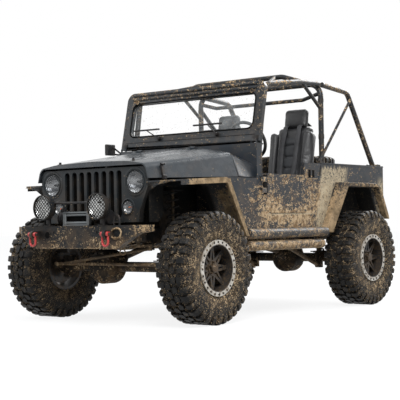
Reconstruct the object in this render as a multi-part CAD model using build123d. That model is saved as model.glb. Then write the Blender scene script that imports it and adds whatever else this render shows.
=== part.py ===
from build123d import *
from math import atan2, cos, degrees, hypot, pi, radians, sin, tan
import os

os.makedirs("parts", exist_ok=True)

# The vehicle faces -Y, its left side is +X, and z = 0 is the ground. All sizes are in millimetres.

# Clearances
PANEL_GAP = 6        # shut line round a door, hood or tailgate
RUN = 0.3            # round a pin, shaft or ball end that turns
FIT = 0.3            # between fixed curved pieces

# Wheels
WHEELBASE = 2400
TRACK = 1660         # between the tyres' centre planes
TYRE_OD = 889
TYRE_WIDTH = 304
TREAD_WIDTH = 276
LUG_DEPTH = 16
BEAD_DIA = 381
BEADLOCK_OD = 440
RIM_WIDTH = 250
SPOKES = 8
HUB_DIA = 116
SPINDLE_DIA = 60
ROTOR_DIA = 288

# Axles and steering
AXLE_TUBE_DIA = 84
DIFF_DIA = 284
FRONT_DIFF_X = -200
KINGPIN_X = 690
KINGPIN_DIA = 24
STEER_ARM = 140      # from the kingpin to the tie rod's end
TIE_ROD_Z = 470
PITMAN_X = 385
PITMAN_Z = 612       # underside of the pitman arm

# Chassis
RAIL_X = 270         # inner face of a frame rail
RAIL_W = 70
RAIL_H = 120
RAIL_TOP = 760
RAIL_FRONT_Y = -1735
RAIL_REAR_Y = 1765
MOUNT_H = 30         # body mounts between rail and floor
SPRING_X = 430
SPRING_DIA = 104
SPRING_WIRE = 14

# Body tub
BODY_W = 1552
WALL = 24
DOOR_T = 38
FLOOR_T = 20
SILL_Z = 683
BELT_Z = 1170
TUB_RAIL_Z = 1330
TUB_REAR_Y = 1760
COWL_FRONT_Y = -663
DASH_Y = -400        # front face of the windscreen base
COWL_TOP_Z = 1468
WHEELHOUSE_X = 560
GATE_HALF = 594

# Nose
NOSE_Y = -1585       # front face of the grille panel
GRILLE_T = 20
GRILLE_TOP_Z = 1246
GRILLE_BOTTOM_Z = 812
GRILLE_HALF = 585
SLOTS = 8
SLOT_PITCH = 81.7
SLOT_W = 53
HEADLAMP_X = 458
HEADLAMP_Z = 1128
HEADLAMP_DIA = 190
INDICATOR_X = 380
INDICATOR_Z = 931
INDICATOR_DIA = 112
FENDER_OUT_X = 872
LIP_H = 44
SHEET = 12

# Bumpers
BUMPER_FRONT_Y = -1800
BUMPER_TOP_Z = 790
BUMPER_BOTTOM_Z = 610
BUMPER_HALF = 716
SHACKLE_X = 398
SHACKLE_Z = 725
OVERALL_HALF = 1900  # half of the overall length, ear tip to receiver mouth

# Windscreen
SCREEN_H = 546
SCREEN_HALF = 786
SCREEN_T = 40
SCREEN_LEAN = 12.5

# Roll cage
CAGE_X = 708
CAGE_R = 25
HOOP_Y = 735
HOOP_TOP_Z = 2072

AXLE_Z = TYRE_OD / 2
FRONT_Y = -WHEELBASE / 2
REAR_Y = WHEELBASE / 2
HALF = BODY_W / 2
FLOOR_Z = RAIL_TOP + MOUNT_H
FLOOR_TOP = FLOOR_Z + FLOOR_T
RAIL_OUT = RAIL_X + RAIL_W
WHEEL_X = TRACK / 2
BEAD_R = BEAD_DIA / 2


def box(x0, x1, y0, y1, z0, z1):
    """A block between two corners."""
    return Pos((x0 + x1) / 2, (y0 + y1) / 2, (z0 + z1) / 2) * Box(abs(x1 - x0), abs(y1 - y0), abs(z1 - z0))


def rod(start, end, radius, end_radius=None):
    """A round bar or cone from one point to another, its ends square to it."""
    a, b = Vector(*start), Vector(*end)
    plane = Plane(origin=a, z_dir=b - a)
    if end_radius is None or end_radius == radius:
        body = Cylinder(radius, (b - a).length, align=(Align.CENTER, Align.CENTER, Align.MIN))
    else:
        body = Cone(radius, end_radius, (b - a).length, align=(Align.CENTER, Align.CENTER, Align.MIN))
    return plane * body


def pipe(points, radius, bend):
    """A bent tube, its runs joined by tangent arcs of one radius or a list of radii."""
    path = FilletPolyline(*[Vector(*p) for p in points], radius=bend)
    first = Vector(*points[1]) - Vector(*points[0])
    return sweep(Plane(origin=points[0], z_dir=first) * Circle(radius), path=path)


def outline(points, radius=0):
    """A face from a closed outline, with one corner radius or a list of them."""
    if radius == 0:
        return make_face(Polyline(*points, close=True))
    return make_face(FilletPolyline(*points, radius=radius, close=True))


def side_slab(points, x0, x1, radius=0):
    """An outline of (y, z) points, thick along X."""
    plane = Plane(origin=(x0, 0, 0), x_dir=(0, 1, 0), z_dir=(1, 0, 0))
    return extrude(plane * outline(points, radius), amount=x1 - x0)


def front_slab(points, y0, y1, radius=0):
    """An outline of (x, z) points, thick along Y, from y1 forward to y0."""
    plane = Plane(origin=(0, y1, 0), x_dir=(1, 0, 0), z_dir=(0, -1, 0))
    return extrude(plane * outline(points, radius), amount=y1 - y0)


def plan_slab(points, z0, z1, radius=0):
    """An outline of (x, y) points, thick along Z."""
    return extrude(Plane.XY.offset(z0) * outline(points, radius), amount=z1 - z0)


def other_side(shape):
    """The same piece on the right of the vehicle."""
    return shape.mirror(Plane.YZ)


def both_sides(shape):
    """The piece and its mirror image, as solids of one node."""
    return Compound(children=[*shape.solids(), *other_side(shape).solids()])


def mirrored(points):
    """Half an outline of (x, z) points from the middle out, completed on the other side."""
    return points + [(-x, z) for x, z in reversed(points)]


# Hinges. A hinge is a pin in two ears on the fixed side, and a barrel with a leaf on the moving side.
HINGE_PIN_R = 5.5
BARREL_R = 8.5
BARREL_L = 42
EAR_T = 8


def hinge_fixed(centre, axis):
    """The pin and the two ears' round ends, about one hinge's centre."""
    c, a = Vector(*centre), Vector(*axis)
    reach = BARREL_L / 2 + RUN + EAR_T
    pin = rod(c - a * reach, c + a * reach, HINGE_PIN_R)
    for side in (-1, 1):
        inner = c + a * (side * (BARREL_L / 2 + RUN))
        pin += rod(inner, inner + a * (side * EAR_T), BARREL_R)
    return pin


def hinge_barrel(centre, axis):
    """The moving barrel, still without its bore."""
    c, a = Vector(*centre), Vector(*axis)
    return rod(c - a * (BARREL_L / 2), c + a * (BARREL_L / 2), BARREL_R)


def hinge_bore(centre, axis):
    """The bore that a barrel turns on, as a tool to cut with."""
    c, a = Vector(*centre), Vector(*axis)
    return rod(c - a * BARREL_L, c + a * BARREL_L, HINGE_PIN_R + RUN)


def ear_spans(centre_value):
    """The two ears' extents along the hinge's axis."""
    near = BARREL_L / 2 + RUN
    return [(centre_value - near - EAR_T, centre_value - near), (centre_value + near, centre_value + near + EAR_T)]


# Wheels

def tyre():
    """One tyre about the X axis: bulged sidewalls, round shoulders and the tread out to the lugs' tips."""
    half_w, half_t = TYRE_WIDTH / 2, TREAD_WIDTH / 2
    bead_half = RIM_WIDTH / 2 - SHEET
    tip = TYRE_OD / 2
    # columns: distance from the centre plane, radius
    half = [
        (bead_half - 30, BEAD_R + FIT),
        (bead_half, BEAD_R + FIT),
        (bead_half + 10, BEADLOCK_OD / 2 + 4),
        (half_w, (BEAD_R + tip) / 2),
        (half_w - 4, tip - 3 * LUG_DEPTH),
        (half_t, tip - LUG_DEPTH / 2),
        (half_t - 20, tip),
    ]
    points = half + [(-x, r) for x, r in reversed(half)]
    return revolve(outline(points), axis=Axis.X)


def rim():
    """One wheel about the X axis, its face towards +X: barrel, beadlock ring, V spokes, hub and brake rotor."""
    half = RIM_WIDTH / 2
    barrel_r = BEAD_R
    ring_r = BEADLOCK_OD / 2
    barrel = rod((-half, 0, 0), (half, 0, 0), barrel_r)
    flange = rod((-half, 0, 0), (-half + 6, 0, 0), barrel_r + 14)
    ring = rod((half - 1, 0, 0), (half + 11, 0, 0), ring_r)
    inside = rod((-half - 1, 0, 0), (half + 12, 0, 0), barrel_r - 12)
    body = barrel + flange + ring - inside
    hub_r = HUB_DIA / 2
    wide, narrow, depth = 64, 30, 24
    for i in range(SPOKES):
        spoke = plan_slab([(hub_r - 14, -wide / 2), (hub_r - 14, wide / 2), (barrel_r - 6, narrow / 2),
                           (barrel_r - 6, -narrow / 2)], 0, depth)
        spoke -= plan_slab([(hub_r + 6, -wide / 2 + 20), (hub_r + 6, wide / 2 - 20), (barrel_r - 50, 0)], depth / 2, depth)
        spoke = Plane(origin=(half - 74, 0, 0), x_dir=(0, 1, 0), z_dir=(1, 0, 0)) * spoke
        body += Rot(360 * i / SPOKES, 0, 0) * spoke
    body += rod((-74, 0, 0), (half - 44, 0, 0), hub_r)
    body += rod((half - 44, 0, 0), (half - 22, 0, 0), hub_r * 0.62)
    body += rod((-74, 0, 0), (-54, 0, 0), ROTOR_DIA / 2)
    body -= rod((-80, 0, 0), (34, 0, 0), SPINDLE_DIA / 2 + RUN)
    return body


def place_wheel(shape, side, y):
    """A wheel piece on its axle's end; the right-hand one is turned to face outward."""
    turn = Rot(0, 0, 0) if side > 0 else Rot(0, 0, 180)
    return Pos(side * WHEEL_X, y, AXLE_Z) * turn * shape


# Running gear

YOKE_Z = 92          # half height of the axle end's fork
YOKE_T = 26
DIFF_FRONT = 100     # from the axle's middle to the cover
DIFF_REAR = 90
PINION_REACH = 190
PERCH_Z = AXLE_Z + AXLE_TUBE_DIA / 2 + 24
PERCH_T = 10
LINK_X = 360
LINK_W = 40
LINK_H = 40
LINK_AXLE_Y = 50     # from the axle to the link's near end
LINK_FRAME_Y = 500
TRANSFER_X0, TRANSFER_X1 = -245, 110
TRANSFER_Y0, TRANSFER_Y1 = -330, -120
FRONT_SHAFT_START = (FRONT_DIFF_X, TRANSFER_Y0, 700)
REAR_SHAFT_START = (0, TRANSFER_Y1, 720)


def shaft_end(diff_x, axle_y, toward):
    """Centre of the pinion flange that a drive shaft bolts to."""
    return Vector(diff_x, axle_y + toward * PINION_REACH, AXLE_Z + 70)


def axle_middle(diff_x, axle_y, toward, shaft_start):
    """Tube, differential, pinion and flange, spring perches and link brackets of one axle."""
    body = box(0, 1, 0, 1, 0, 1)
    cover = Pos(diff_x, axle_y, AXLE_Z) * Rot(90, 0, 0) * Cylinder(DIFF_DIA / 2, DIFF_FRONT + DIFF_REAR)
    cover = Pos(0, toward * (DIFF_REAR - DIFF_FRONT) / 2, 0) * fillet(cover.edges(), 34)
    body = cover
    end = shaft_end(diff_x, axle_y, toward)
    line = (Vector(*shaft_start) - end).normalized()
    body += rod((diff_x, axle_y, AXLE_Z), tuple(end - line * 12), 74, 44)
    body += rod(tuple(end - line * 20), tuple(end), 52)
    for side in (-1, 1):
        x = side * SPRING_X
        y0, y1 = sorted((axle_y - toward * 45, axle_y + toward * 165))
        body += box(x - 58, x + 58, y0, y1, PERCH_Z - PERCH_T, PERCH_Z)
        body += box(x - 8, x + 8, y0, y1, AXLE_Z - 20, PERCH_Z - PERCH_T / 2)
        y0, y1 = sorted((axle_y, axle_y + toward * LINK_AXLE_Y))
        body += box(side * (LINK_X - 8), side * (LINK_X + LINK_W + 8), y0, y1, AXLE_Z - 98, AXLE_Z)
    return body


def front_axle():
    """Steered live axle with a fork at each end that holds the knuckle's pins."""
    body = axle_middle(FRONT_DIFF_X, FRONT_Y, 1, FRONT_SHAFT_START)
    fork_x = KINGPIN_X - 66
    tube_end = fork_x - 34
    body += rod((-tube_end, FRONT_Y, AXLE_Z), (tube_end, FRONT_Y, AXLE_Z), AXLE_TUBE_DIA / 2)
    for side in (-1, 1):
        body += box(side * tube_end, side * fork_x, FRONT_Y - 46, FRONT_Y + 46, AXLE_Z - YOKE_Z, AXLE_Z + YOKE_Z)
        for up in (-1, 1):
            ear = box(side * (fork_x - 5), side * KINGPIN_X, FRONT_Y - 32, FRONT_Y + 32,
                      AXLE_Z + up * YOKE_Z, AXLE_Z + up * (YOKE_Z - YOKE_T))
            ear += rod((side * KINGPIN_X, FRONT_Y, AXLE_Z + up * YOKE_Z),
                       (side * KINGPIN_X, FRONT_Y, AXLE_Z + up * (YOKE_Z - YOKE_T)), 32)
            body += ear
        body -= rod((side * KINGPIN_X, FRONT_Y, AXLE_Z - YOKE_Z - 1), (side * KINGPIN_X, FRONT_Y, AXLE_Z + YOKE_Z + 1),
                    KINGPIN_DIA / 2 + RUN)
    return body


def rear_axle():
    """Live rear axle with a flange and spindle at each end."""
    body = axle_middle(0, REAR_Y, -1, REAR_SHAFT_START)
    flange_x = WHEEL_X - 95
    body += rod((-flange_x, REAR_Y, AXLE_Z), (flange_x, REAR_Y, AXLE_Z), AXLE_TUBE_DIA / 2)
    body += rod((-WHEEL_X - 28, REAR_Y, AXLE_Z), (WHEEL_X + 28, REAR_Y, AXLE_Z), SPINDLE_DIA / 2)
    for side in (-1, 1):
        body += rod((side * (flange_x - 14), REAR_Y, AXLE_Z), (side * flange_x, REAR_Y, AXLE_Z), 78)
    return body


def knuckle():
    """Left steering knuckle: pins, flange, spindle, caliper and the arm to the tie rod."""
    boss_z = YOKE_Z - YOKE_T - 5
    body = rod((KINGPIN_X, FRONT_Y, AXLE_Z - boss_z), (KINGPIN_X, FRONT_Y, AXLE_Z + boss_z), 34)
    body += rod((KINGPIN_X, FRONT_Y, AXLE_Z - YOKE_Z), (KINGPIN_X, FRONT_Y, AXLE_Z + YOKE_Z), KINGPIN_DIA / 2)
    body += box(KINGPIN_X, KINGPIN_X + 38, FRONT_Y - 42, FRONT_Y + 42, AXLE_Z - 45, AXLE_Z + 45)
    body += rod((KINGPIN_X + 26, FRONT_Y, AXLE_Z), (KINGPIN_X + 42, FRONT_Y, AXLE_Z), 60)
    body += rod((KINGPIN_X + 30, FRONT_Y, AXLE_Z), (WHEEL_X + 28, FRONT_Y, AXLE_Z), SPINDLE_DIA / 2)
    arm_top = TIE_ROD_Z - 15 - RUN
    arm_x = KINGPIN_X - 18
    arm_y = FRONT_Y - STEER_ARM
    body += plan_slab([(arm_x - 16, arm_y), (arm_x + 16, arm_y), (KINGPIN_X + 26, FRONT_Y - 20), (KINGPIN_X - 20, FRONT_Y - 20)],
                      arm_top - 24, arm_top)
    body += rod((arm_x, arm_y, arm_top - 24), (arm_x, arm_y, arm_top), 16)
    rotor_in = WHEEL_X - 74
    rotor_r = ROTOR_DIA / 2
    caliper = box(rotor_in - 22, rotor_in + 42, FRONT_Y + 84, FRONT_Y + 160, AXLE_Z - 40, AXLE_Z + 40)
    caliper -= rod((rotor_in - 6, FRONT_Y, AXLE_Z), (rotor_in + 26, FRONT_Y, AXLE_Z), rotor_r + 6)
    body += caliper
    body += box(KINGPIN_X + 26, rotor_in - 6, FRONT_Y + 20, FRONT_Y + 110, AXLE_Z - 24, AXLE_Z + 24)
    return body


def steering_links():
    """Tie rod between the knuckles, with the drag link that rises from it to the pitman arm."""
    y = FRONT_Y - STEER_ARM
    eye_x = KINGPIN_X - 18
    body = rod((-eye_x, y, TIE_ROD_Z), (eye_x, y, TIE_ROD_Z), 13)
    for side in (-1, 1):
        body += rod((side * eye_x, y, TIE_ROD_Z - 15), (side * eye_x, y, TIE_ROD_Z + 15), 17)
    top = PITMAN_Z - RUN
    body += rod((-eye_x + 110, y, TIE_ROD_Z + 4), (PITMAN_X, y, top - 15), 12)
    body += rod((PITMAN_X, y, top - 30), (PITMAN_X, y, top), 17)
    return body


STEER_BOX_Z0, STEER_BOX_Z1 = 652, 772


def pitman_arm():
    """Arm under the steering box, swung by its shaft."""
    y0, y1 = FRONT_Y - STEER_ARM, FRONT_Y - 2 * STEER_ARM
    body = box(PITMAN_X - 16, PITMAN_X + 16, y1, y0, PITMAN_Z, PITMAN_Z + 20)
    body += rod((PITMAN_X, y0, PITMAN_Z), (PITMAN_X, y0, PITMAN_Z + 20), 20)
    body += rod((PITMAN_X, y1, PITMAN_Z), (PITMAN_X, y1, PITMAN_Z + 20), 24)
    body += rod((PITMAN_X, y1, PITMAN_Z), (PITMAN_X, y1, STEER_BOX_Z0 + 40), 14)
    return body


def steering_box():
    """Gearbox bolted to the outside of the left frame rail."""
    y = FRONT_Y - 2 * STEER_ARM
    body = box(RAIL_OUT, PITMAN_X + 46, y - 48, y + 48, STEER_BOX_Z0, STEER_BOX_Z1)
    body = fillet(body.edges().filter_by(Axis.Y), 12)
    body -= rod((PITMAN_X, y, STEER_BOX_Z0 - 1), (PITMAN_X, y, STEER_BOX_Z0 + 42), 14 + RUN)
    return body


TOWER_Z = 1060
REAR_TOWER_Z = 770


def chassis_frame():
    """Ladder frame with cross members, spring towers, link brackets, a skid plate and body mounts."""
    rails = []
    body = None
    for side in (-1, 1):
        rail = box(side * RAIL_X, side * RAIL_OUT, RAIL_FRONT_Y, RAIL_REAR_Y, RAIL_TOP - RAIL_H, RAIL_TOP)
        for y, top in ((SPRING_FRONT_Y, TOWER_Z), (SPRING_REAR_Y, REAR_TOWER_Z)):
            rail += box(side * RAIL_OUT, side * (RAIL_OUT + 12), y - 70, y + 70, RAIL_TOP - RAIL_H, top + 10)
            rail += box(side * RAIL_OUT, side * (SPRING_X + 56), y - 70, y + 70, top, top + 10)
        for toward in (-1, 1):
            y0, y1 = sorted((toward * LINK_FRAME_Y, toward * (LINK_FRAME_Y - 60)))
            rail += box(side * RAIL_OUT, side * (LINK_X + LINK_W + 8), y0, y1, 560, RAIL_TOP - 30)
        for y in MOUNT_YS:
            rail += rod((side * (RAIL_X + RAIL_W / 2), y, RAIL_TOP), (side * (RAIL_X + RAIL_W / 2), y, FLOOR_Z), 28)
        rails.append(rail)
    body = rails[0] + rails[1]
    for y in CROSS_YS:
        body += box(-RAIL_X, RAIL_X, y - 30, y + 30, RAIL_TOP - 100, RAIL_TOP - 20)
    skid_top = RAIL_TOP - RAIL_H
    body += box(-RAIL_OUT, RAIL_OUT, TRANSFER_Y0 - 10, TRANSFER_Y1 + 40, skid_top - 28, skid_top)
    return body


SPRING_FRONT_Y = FRONT_Y + 100
SPRING_REAR_Y = REAR_Y - 100
MOUNT_YS = (-640, -220, 300, 640, 1000, 1640)
CROSS_YS = (-1690, 600, 1725)


def coil_spring(y, top, turns):
    """A coil spring as stacked turns round its damper, from the axle's perch to the tower."""
    height = top - PERCH_Z
    body = rod((SPRING_X, y, PERCH_Z), (SPRING_X, y, top), SPRING_DIA / 2 - SPRING_WIRE)
    for i in range(turns):
        z = PERCH_Z + SPRING_WIRE / 2 + (height - SPRING_WIRE) * i / (turns - 1)
        body += Pos(SPRING_X, y, z) * Torus(SPRING_DIA / 2 - SPRING_WIRE / 2, SPRING_WIRE / 2)
    return body


def lower_link(axle_y, toward):
    """One lower link, from the axle's bracket to the frame's."""
    y_axle = axle_y + toward * LINK_AXLE_Y
    y_frame = -toward * LINK_FRAME_Y
    z_axle = AXLE_Z - 92
    z_frame = 590
    points = [(y_axle, z_axle), (y_axle, z_axle + LINK_H), (y_frame, z_frame + LINK_H), (y_frame, z_frame)]
    return side_slab(points, LINK_X, LINK_X + LINK_W)


def suspension(axle_y, toward, spring_y, top, turns):
    """Springs with dampers and the lower links of one axle."""
    return both_sides(Compound(children=[coil_spring(spring_y, top, turns), lower_link(axle_y, toward)]))


def powertrain():
    """Engine as one plain block, gearbox, transfer case and the two drive shafts."""
    engine = box(-200, 200, FRONT_Y - 150, FRONT_Y + 340, 655, 1090)
    for side in (-1, 1):
        engine += box(side * 200, side * RAIL_X, FRONT_Y + 70, FRONT_Y + 130, 680, 730)
    under_floor = FLOOR_Z - 8
    body = engine + box(-110, 110, FRONT_Y + 340, TRANSFER_Y0, 655, under_floor)
    body += box(TRANSFER_X0, TRANSFER_X1, TRANSFER_Y0, TRANSFER_Y1, RAIL_TOP - RAIL_H, under_floor)
    body += rod(tuple(shaft_end(FRONT_DIFF_X, FRONT_Y, 1)), FRONT_SHAFT_START, 28)
    body += rod(tuple(shaft_end(0, REAR_Y, -1)), REAR_SHAFT_START, 30)
    return body


EXHAUST_X = -530
EXHAUST_Z = 732
EXHAUST_R = 22


def exhaust():
    """Pipe from the engine over the right rail and back under the floor, with its silencer."""
    y = FRONT_Y + 320
    points = [(-200, y, 800), (-420, y, 800), (-420, y + 240, EXHAUST_Z), (EXHAUST_X, y + 390, EXHAUST_Z),
              (EXHAUST_X, TUB_REAR_Y - 20, EXHAUST_Z)]
    body = pipe(points, EXHAUST_R, 60)
    return body + rod((EXHAUST_X, 100, EXHAUST_Z), (EXHAUST_X, 600, EXHAUST_Z), 52)


def fuel_tank():
    """Tank hung under the rear floor between the rails."""
    tank = box(-RAIL_X + 8, RAIL_X - 8, REAR_Y + 190, REAR_Y + 480, 612, FLOOR_Z)
    return fillet(tank.edges().filter_by(Axis.Y), 24)


# Body

DOOR_FRONT_Y = -336
DOOR_REAR_Y = 606
DOOR_LOW_Z = 1210
DOOR_HIGH_Z = 1322
DOOR_STEP_Y = 333
# columns: y, z of the left door's outer edge, from the front top corner round the bottom
DOOR_OUTLINE = [
    (DOOR_FRONT_Y, DOOR_LOW_Z),
    (DOOR_FRONT_Y, 1040),
    (-318, 966),
    (-281, 907),
    (-206, 874),
    (335, 874),
    (453, 959),
    (498, 1045),
    (556, 1185),
    (DOOR_REAR_Y, DOOR_HIGH_Z - 10),
    (DOOR_REAR_Y, DOOR_HIGH_Z),
    (DOOR_STEP_Y, DOOR_HIGH_Z),
    (DOOR_STEP_Y, DOOR_LOW_Z),
]
DOOR_HINGE_ZS = (1066, 1160)
DOOR_AXIS_X = HALF + 9
DOOR_AXIS_Y = DOOR_FRONT_Y - PANEL_GAP / 2
Z_AXIS = (0, 0, 1)
X_AXIS = (1, 0, 0)

# columns: y from the axle, z of a wheel arch
FRONT_ARCH = [(-303, 1134), (243, 1161), (297, 1146), (547, SILL_Z + 1)]
REAR_ARCH_IN = [(-481, 719), (-210, 1118), (352, 1118), (493, 846), (548, 808)]
REAR_FLARE_OUT = [(-600, 700), (-597, 738), (-347, 1155), (300, 1155), (402, 1118), (545, 850), (557, 808)]


def shift(points, y):
    """Points of (y, z) moved along Y."""
    return [(a + y, b) for a, b in points]


def door_opening():
    """The hole that a door leaves in the body's side, with its shut line."""
    face = offset(outline(DOOR_OUTLINE), amount=PANEL_GAP)
    plane = Plane(origin=(HALF - 80, 0, 0), x_dir=(0, 1, 0), z_dir=(1, 0, 0))
    hole = extrude(plane * face, amount=160)
    above = box(HALF - 80, HALF + 80, DOOR_FRONT_Y - PANEL_GAP, DOOR_REAR_Y + PANEL_GAP, DOOR_LOW_Z, TUB_RAIL_Z + 60)
    return hole + above


def tub_side():
    """Left side panel, from the front wheel arch to the rear corner, with its wheel house."""
    front_leg = shift(FRONT_ARCH[2:], FRONT_Y)
    arch = shift(REAR_ARCH_IN, REAR_Y)
    points = [front_leg[1], (REAR_Y - 560, SILL_Z), *arch, (TUB_REAR_Y, 808), (TUB_REAR_Y, TUB_RAIL_Z),
              (DOOR_REAR_Y, TUB_RAIL_Z), (DOOR_REAR_Y, DOOR_LOW_Z), (DOOR_FRONT_Y, DOOR_LOW_Z),
              (DOOR_FRONT_Y, COWL_TOP_Z), (DASH_Y, COWL_TOP_Z), (DASH_Y, BELT_Z), (front_leg[0][0], BELT_Z), front_leg[0]]
    side = side_slab(points, HALF - WALL, HALF) - door_opening()
    inner = [(y, z + SHEET) for y, z in arch[:1]] + [(y, z + SHEET) for y, z in arch[1:3]] + [(y + SHEET, z) for y, z in arch[3:]]
    house = side_slab([arch[0], *arch[1:], *reversed(inner)], WHEELHOUSE_X, HALF - WALL)
    lower = [(arch[0][0], FLOOR_Z), (arch[0][0] + 48, FLOOR_Z), *inner[1:4], (arch[4][0], FLOOR_Z)]
    wall = side_slab(lower, WHEELHOUSE_X - SHEET, WHEELHOUSE_X)
    lip = box(HALF - 40, HALF + 4, DOOR_REAR_Y + PANEL_GAP, TUB_REAR_Y, TUB_RAIL_Z - 14, TUB_RAIL_Z)
    return side + house + wall + lip


def hood_section(half_w, z_low, shoulder_x, shoulder_z, knee_x, knee_z, crown_z, y):
    """Closed cross section of the hood or cowl at one station: straight sides, round shoulders, a low crown."""
    half = [(0, crown_z), (knee_x, knee_z), (shoulder_x, shoulder_z), (half_w, z_low)]
    points = [(-x, z) for x, z in reversed(half[1:])] + half
    plane = Plane(origin=(0, y, 0), x_dir=(1, 0, 0), z_dir=(0, -1, 0))
    top = FilletPolyline(*points, radius=[SHOULDER_R, KNEE_R, CROWN_R, KNEE_R, SHOULDER_R])
    return plane * make_face(top + Line(points[-1], points[0]))


SHOULDER_R, KNEE_R, CROWN_R = 64, 700, 3000
# columns: y, half width, low edge z, shoulder x and z, knee x and z, crown z
HOOD_FRONT = (NOSE_Y - 20, 612, 1150, 580, 1264, 400, 1291, 1303)
HOOD_REAR = (COWL_FRONT_Y - PANEL_GAP, 776, BELT_Z + PANEL_GAP, 704, 1374, 420, 1424, 1440)
COWL_REAR = (DASH_Y, 752, BELT_Z + PANEL_GAP, 736, 1290, 408, 1413, 1449)


def station(row, inset=0, y=None):
    """One row of the table above as a face, drawn in by a skin's thickness."""
    y_row, half_w, low, shoulder_x, shoulder_z, knee_x, knee_z, crown = row
    return hood_section(half_w - inset, low, shoulder_x - inset * 0.7, shoulder_z - inset, knee_x, knee_z - inset,
                        crown - inset, y_row if y is None else y)


SKIN = 10
HOOD_HINGE_X = 300
HOOD_AXIS_Y = COWL_FRONT_Y - PANEL_GAP / 2
HOOD_AXIS_Z = 1440
SCREEN_HINGE_X = HALF - 34
SCREEN_AXIS_Y = DASH_Y + 12
SCREEN_BASE_Y = DASH_Y + 23
SCREEN_BASE_Z = COWL_TOP_Z + 16
SCREEN_AXIS_Z = SCREEN_BASE_Z + 2
GATE_T = 24
GATE_BOTTOM_Z = FLOOR_TOP + 20
GATE_AXIS_Y = TUB_REAR_Y + 9
GATE_AXIS_Z = GATE_BOTTOM_Z - PANEL_GAP / 2
GATE_HINGE_X = 380


def cowl():
    """Domed panel between the hood and the windscreen, its base, and the firewall under it."""
    front = (COWL_FRONT_Y, *HOOD_REAR[1:])
    dome = loft([station(front), station(COWL_REAR)])
    dome -= loft([station(front, SKIN, COWL_FRONT_Y - 1), station(COWL_REAR, SKIN, DASH_Y + 1)])
    firewall = extrude(station(front, SKIN, COWL_FRONT_Y + 20), amount=20)
    firewall += box(-HALF + WALL, HALF - WALL, COWL_FRONT_Y, COWL_FRONT_Y + 20, FLOOR_Z, HOOD_REAR[2] + 1)
    base = box(-HALF, HALF, DASH_Y, DASH_Y + WALL, BELT_Z, COWL_TOP_Z)
    base += box(-HALF, HALF, DASH_Y, DASH_Y + 100, COWL_TOP_Z - SHEET, COWL_TOP_Z)
    return dome + firewall + base


def tub():
    """Open body tub: floor, sides, wheel houses, rear posts, firewall, cowl and the fixed halves of its hinges."""
    left = tub_side()
    body = left + other_side(left)
    arch_y0 = REAR_Y + REAR_ARCH_IN[0][0]
    body += box(-WHEELHOUSE_X, WHEELHOUSE_X, COWL_FRONT_Y, TUB_REAR_Y, FLOOR_Z, FLOOR_TOP)
    body += box(-HALF + WALL, HALF - WALL, COWL_FRONT_Y, arch_y0, FLOOR_Z, FLOOR_TOP)
    post_in = GATE_HALF + PANEL_GAP
    for side in (-1, 1):
        body += box(side * post_in, side * HALF, TUB_REAR_Y - WALL, TUB_REAR_Y, 808, TUB_RAIL_Z)
        body += box(side * (HALF - WALL), side * WHEELHOUSE_X, REAR_Y + 548, TUB_REAR_Y, FLOOR_Z, FLOOR_TOP)
    body += box(-post_in, post_in, TUB_REAR_Y - WALL, TUB_REAR_Y, FLOOR_Z, GATE_BOTTOM_Z - PANEL_GAP)
    body += cowl()
    for side in (-1, 1):
        for z in DOOR_HINGE_ZS:
            body += hinge_fixed((side * DOOR_AXIS_X, DOOR_AXIS_Y, z), Z_AXIS)
            for z0, z1 in ear_spans(z):
                body += box(side * HALF, side * DOOR_AXIS_X, DOOR_AXIS_Y - 34, DOOR_AXIS_Y, z0, z1)
        hood_hinge = (side * HOOD_HINGE_X, HOOD_AXIS_Y, HOOD_AXIS_Z)
        body += hinge_fixed(hood_hinge, X_AXIS)
        for x0, x1 in ear_spans(side * HOOD_HINGE_X):
            body += box(x0, x1, COWL_FRONT_Y, COWL_FRONT_Y + 34, HOOD_AXIS_Z - 40, HOOD_AXIS_Z)
            body += box(x0, x1, HOOD_AXIS_Y, COWL_FRONT_Y, HOOD_AXIS_Z - BARREL_R + 1, HOOD_AXIS_Z)
        screen_hinge = (side * SCREEN_HINGE_X, SCREEN_AXIS_Y, SCREEN_AXIS_Z)
        body += hinge_fixed(screen_hinge, X_AXIS)
        for x0, x1 in ear_spans(side * SCREEN_HINGE_X):
            body += box(x0, x1, SCREEN_AXIS_Y - BARREL_R, SCREEN_AXIS_Y + BARREL_R, COWL_TOP_Z - SHEET, SCREEN_AXIS_Z)
        gate_hinge = (side * GATE_HINGE_X, GATE_AXIS_Y, GATE_AXIS_Z)
        body += hinge_fixed(gate_hinge, X_AXIS)
        for x0, x1 in ear_spans(side * GATE_HINGE_X):
            body += box(x0, x1, TUB_REAR_Y, GATE_AXIS_Y, FLOOR_Z, GATE_AXIS_Z)
    return body


LATCH_Y0, LATCH_Y1 = 395, 500
LATCH_Z0, LATCH_Z1 = 1188, 1262


def door():
    """Left half door with its step up to the latch, hinge barrels, latch recess and front recess."""
    body = side_slab(DOOR_OUTLINE, HALF - DOOR_T, HALF)
    body -= box(HALF - 10, HALF, LATCH_Y0, LATCH_Y1, LATCH_Z0, LATCH_Z1)
    body += box(HALF - 10, HALF, (LATCH_Y0 + LATCH_Y1) / 2 - 10, (LATCH_Y0 + LATCH_Y1) / 2 + 10, LATCH_Z0, LATCH_Z1)
    body -= box(HALF - 8, HALF, DOOR_FRONT_Y + 16, DOOR_FRONT_Y + 92, 1040, DOOR_LOW_Z - 8)
    for z in DOOR_HINGE_ZS:
        centre = (DOOR_AXIS_X, DOOR_AXIS_Y, z)
        body += hinge_barrel(centre, Z_AXIS)
        body += box(HALF - 9, HALF + 6, DOOR_FRONT_Y, DOOR_FRONT_Y + 70, z - BARREL_L / 2, z + BARREL_L / 2)
        body += box(HALF + 1, HALF + 6, DOOR_AXIS_Y, DOOR_FRONT_Y, z - BARREL_L / 2, z + BARREL_L / 2)
        body -= hinge_bore(centre, Z_AXIS)
    return body


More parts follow.
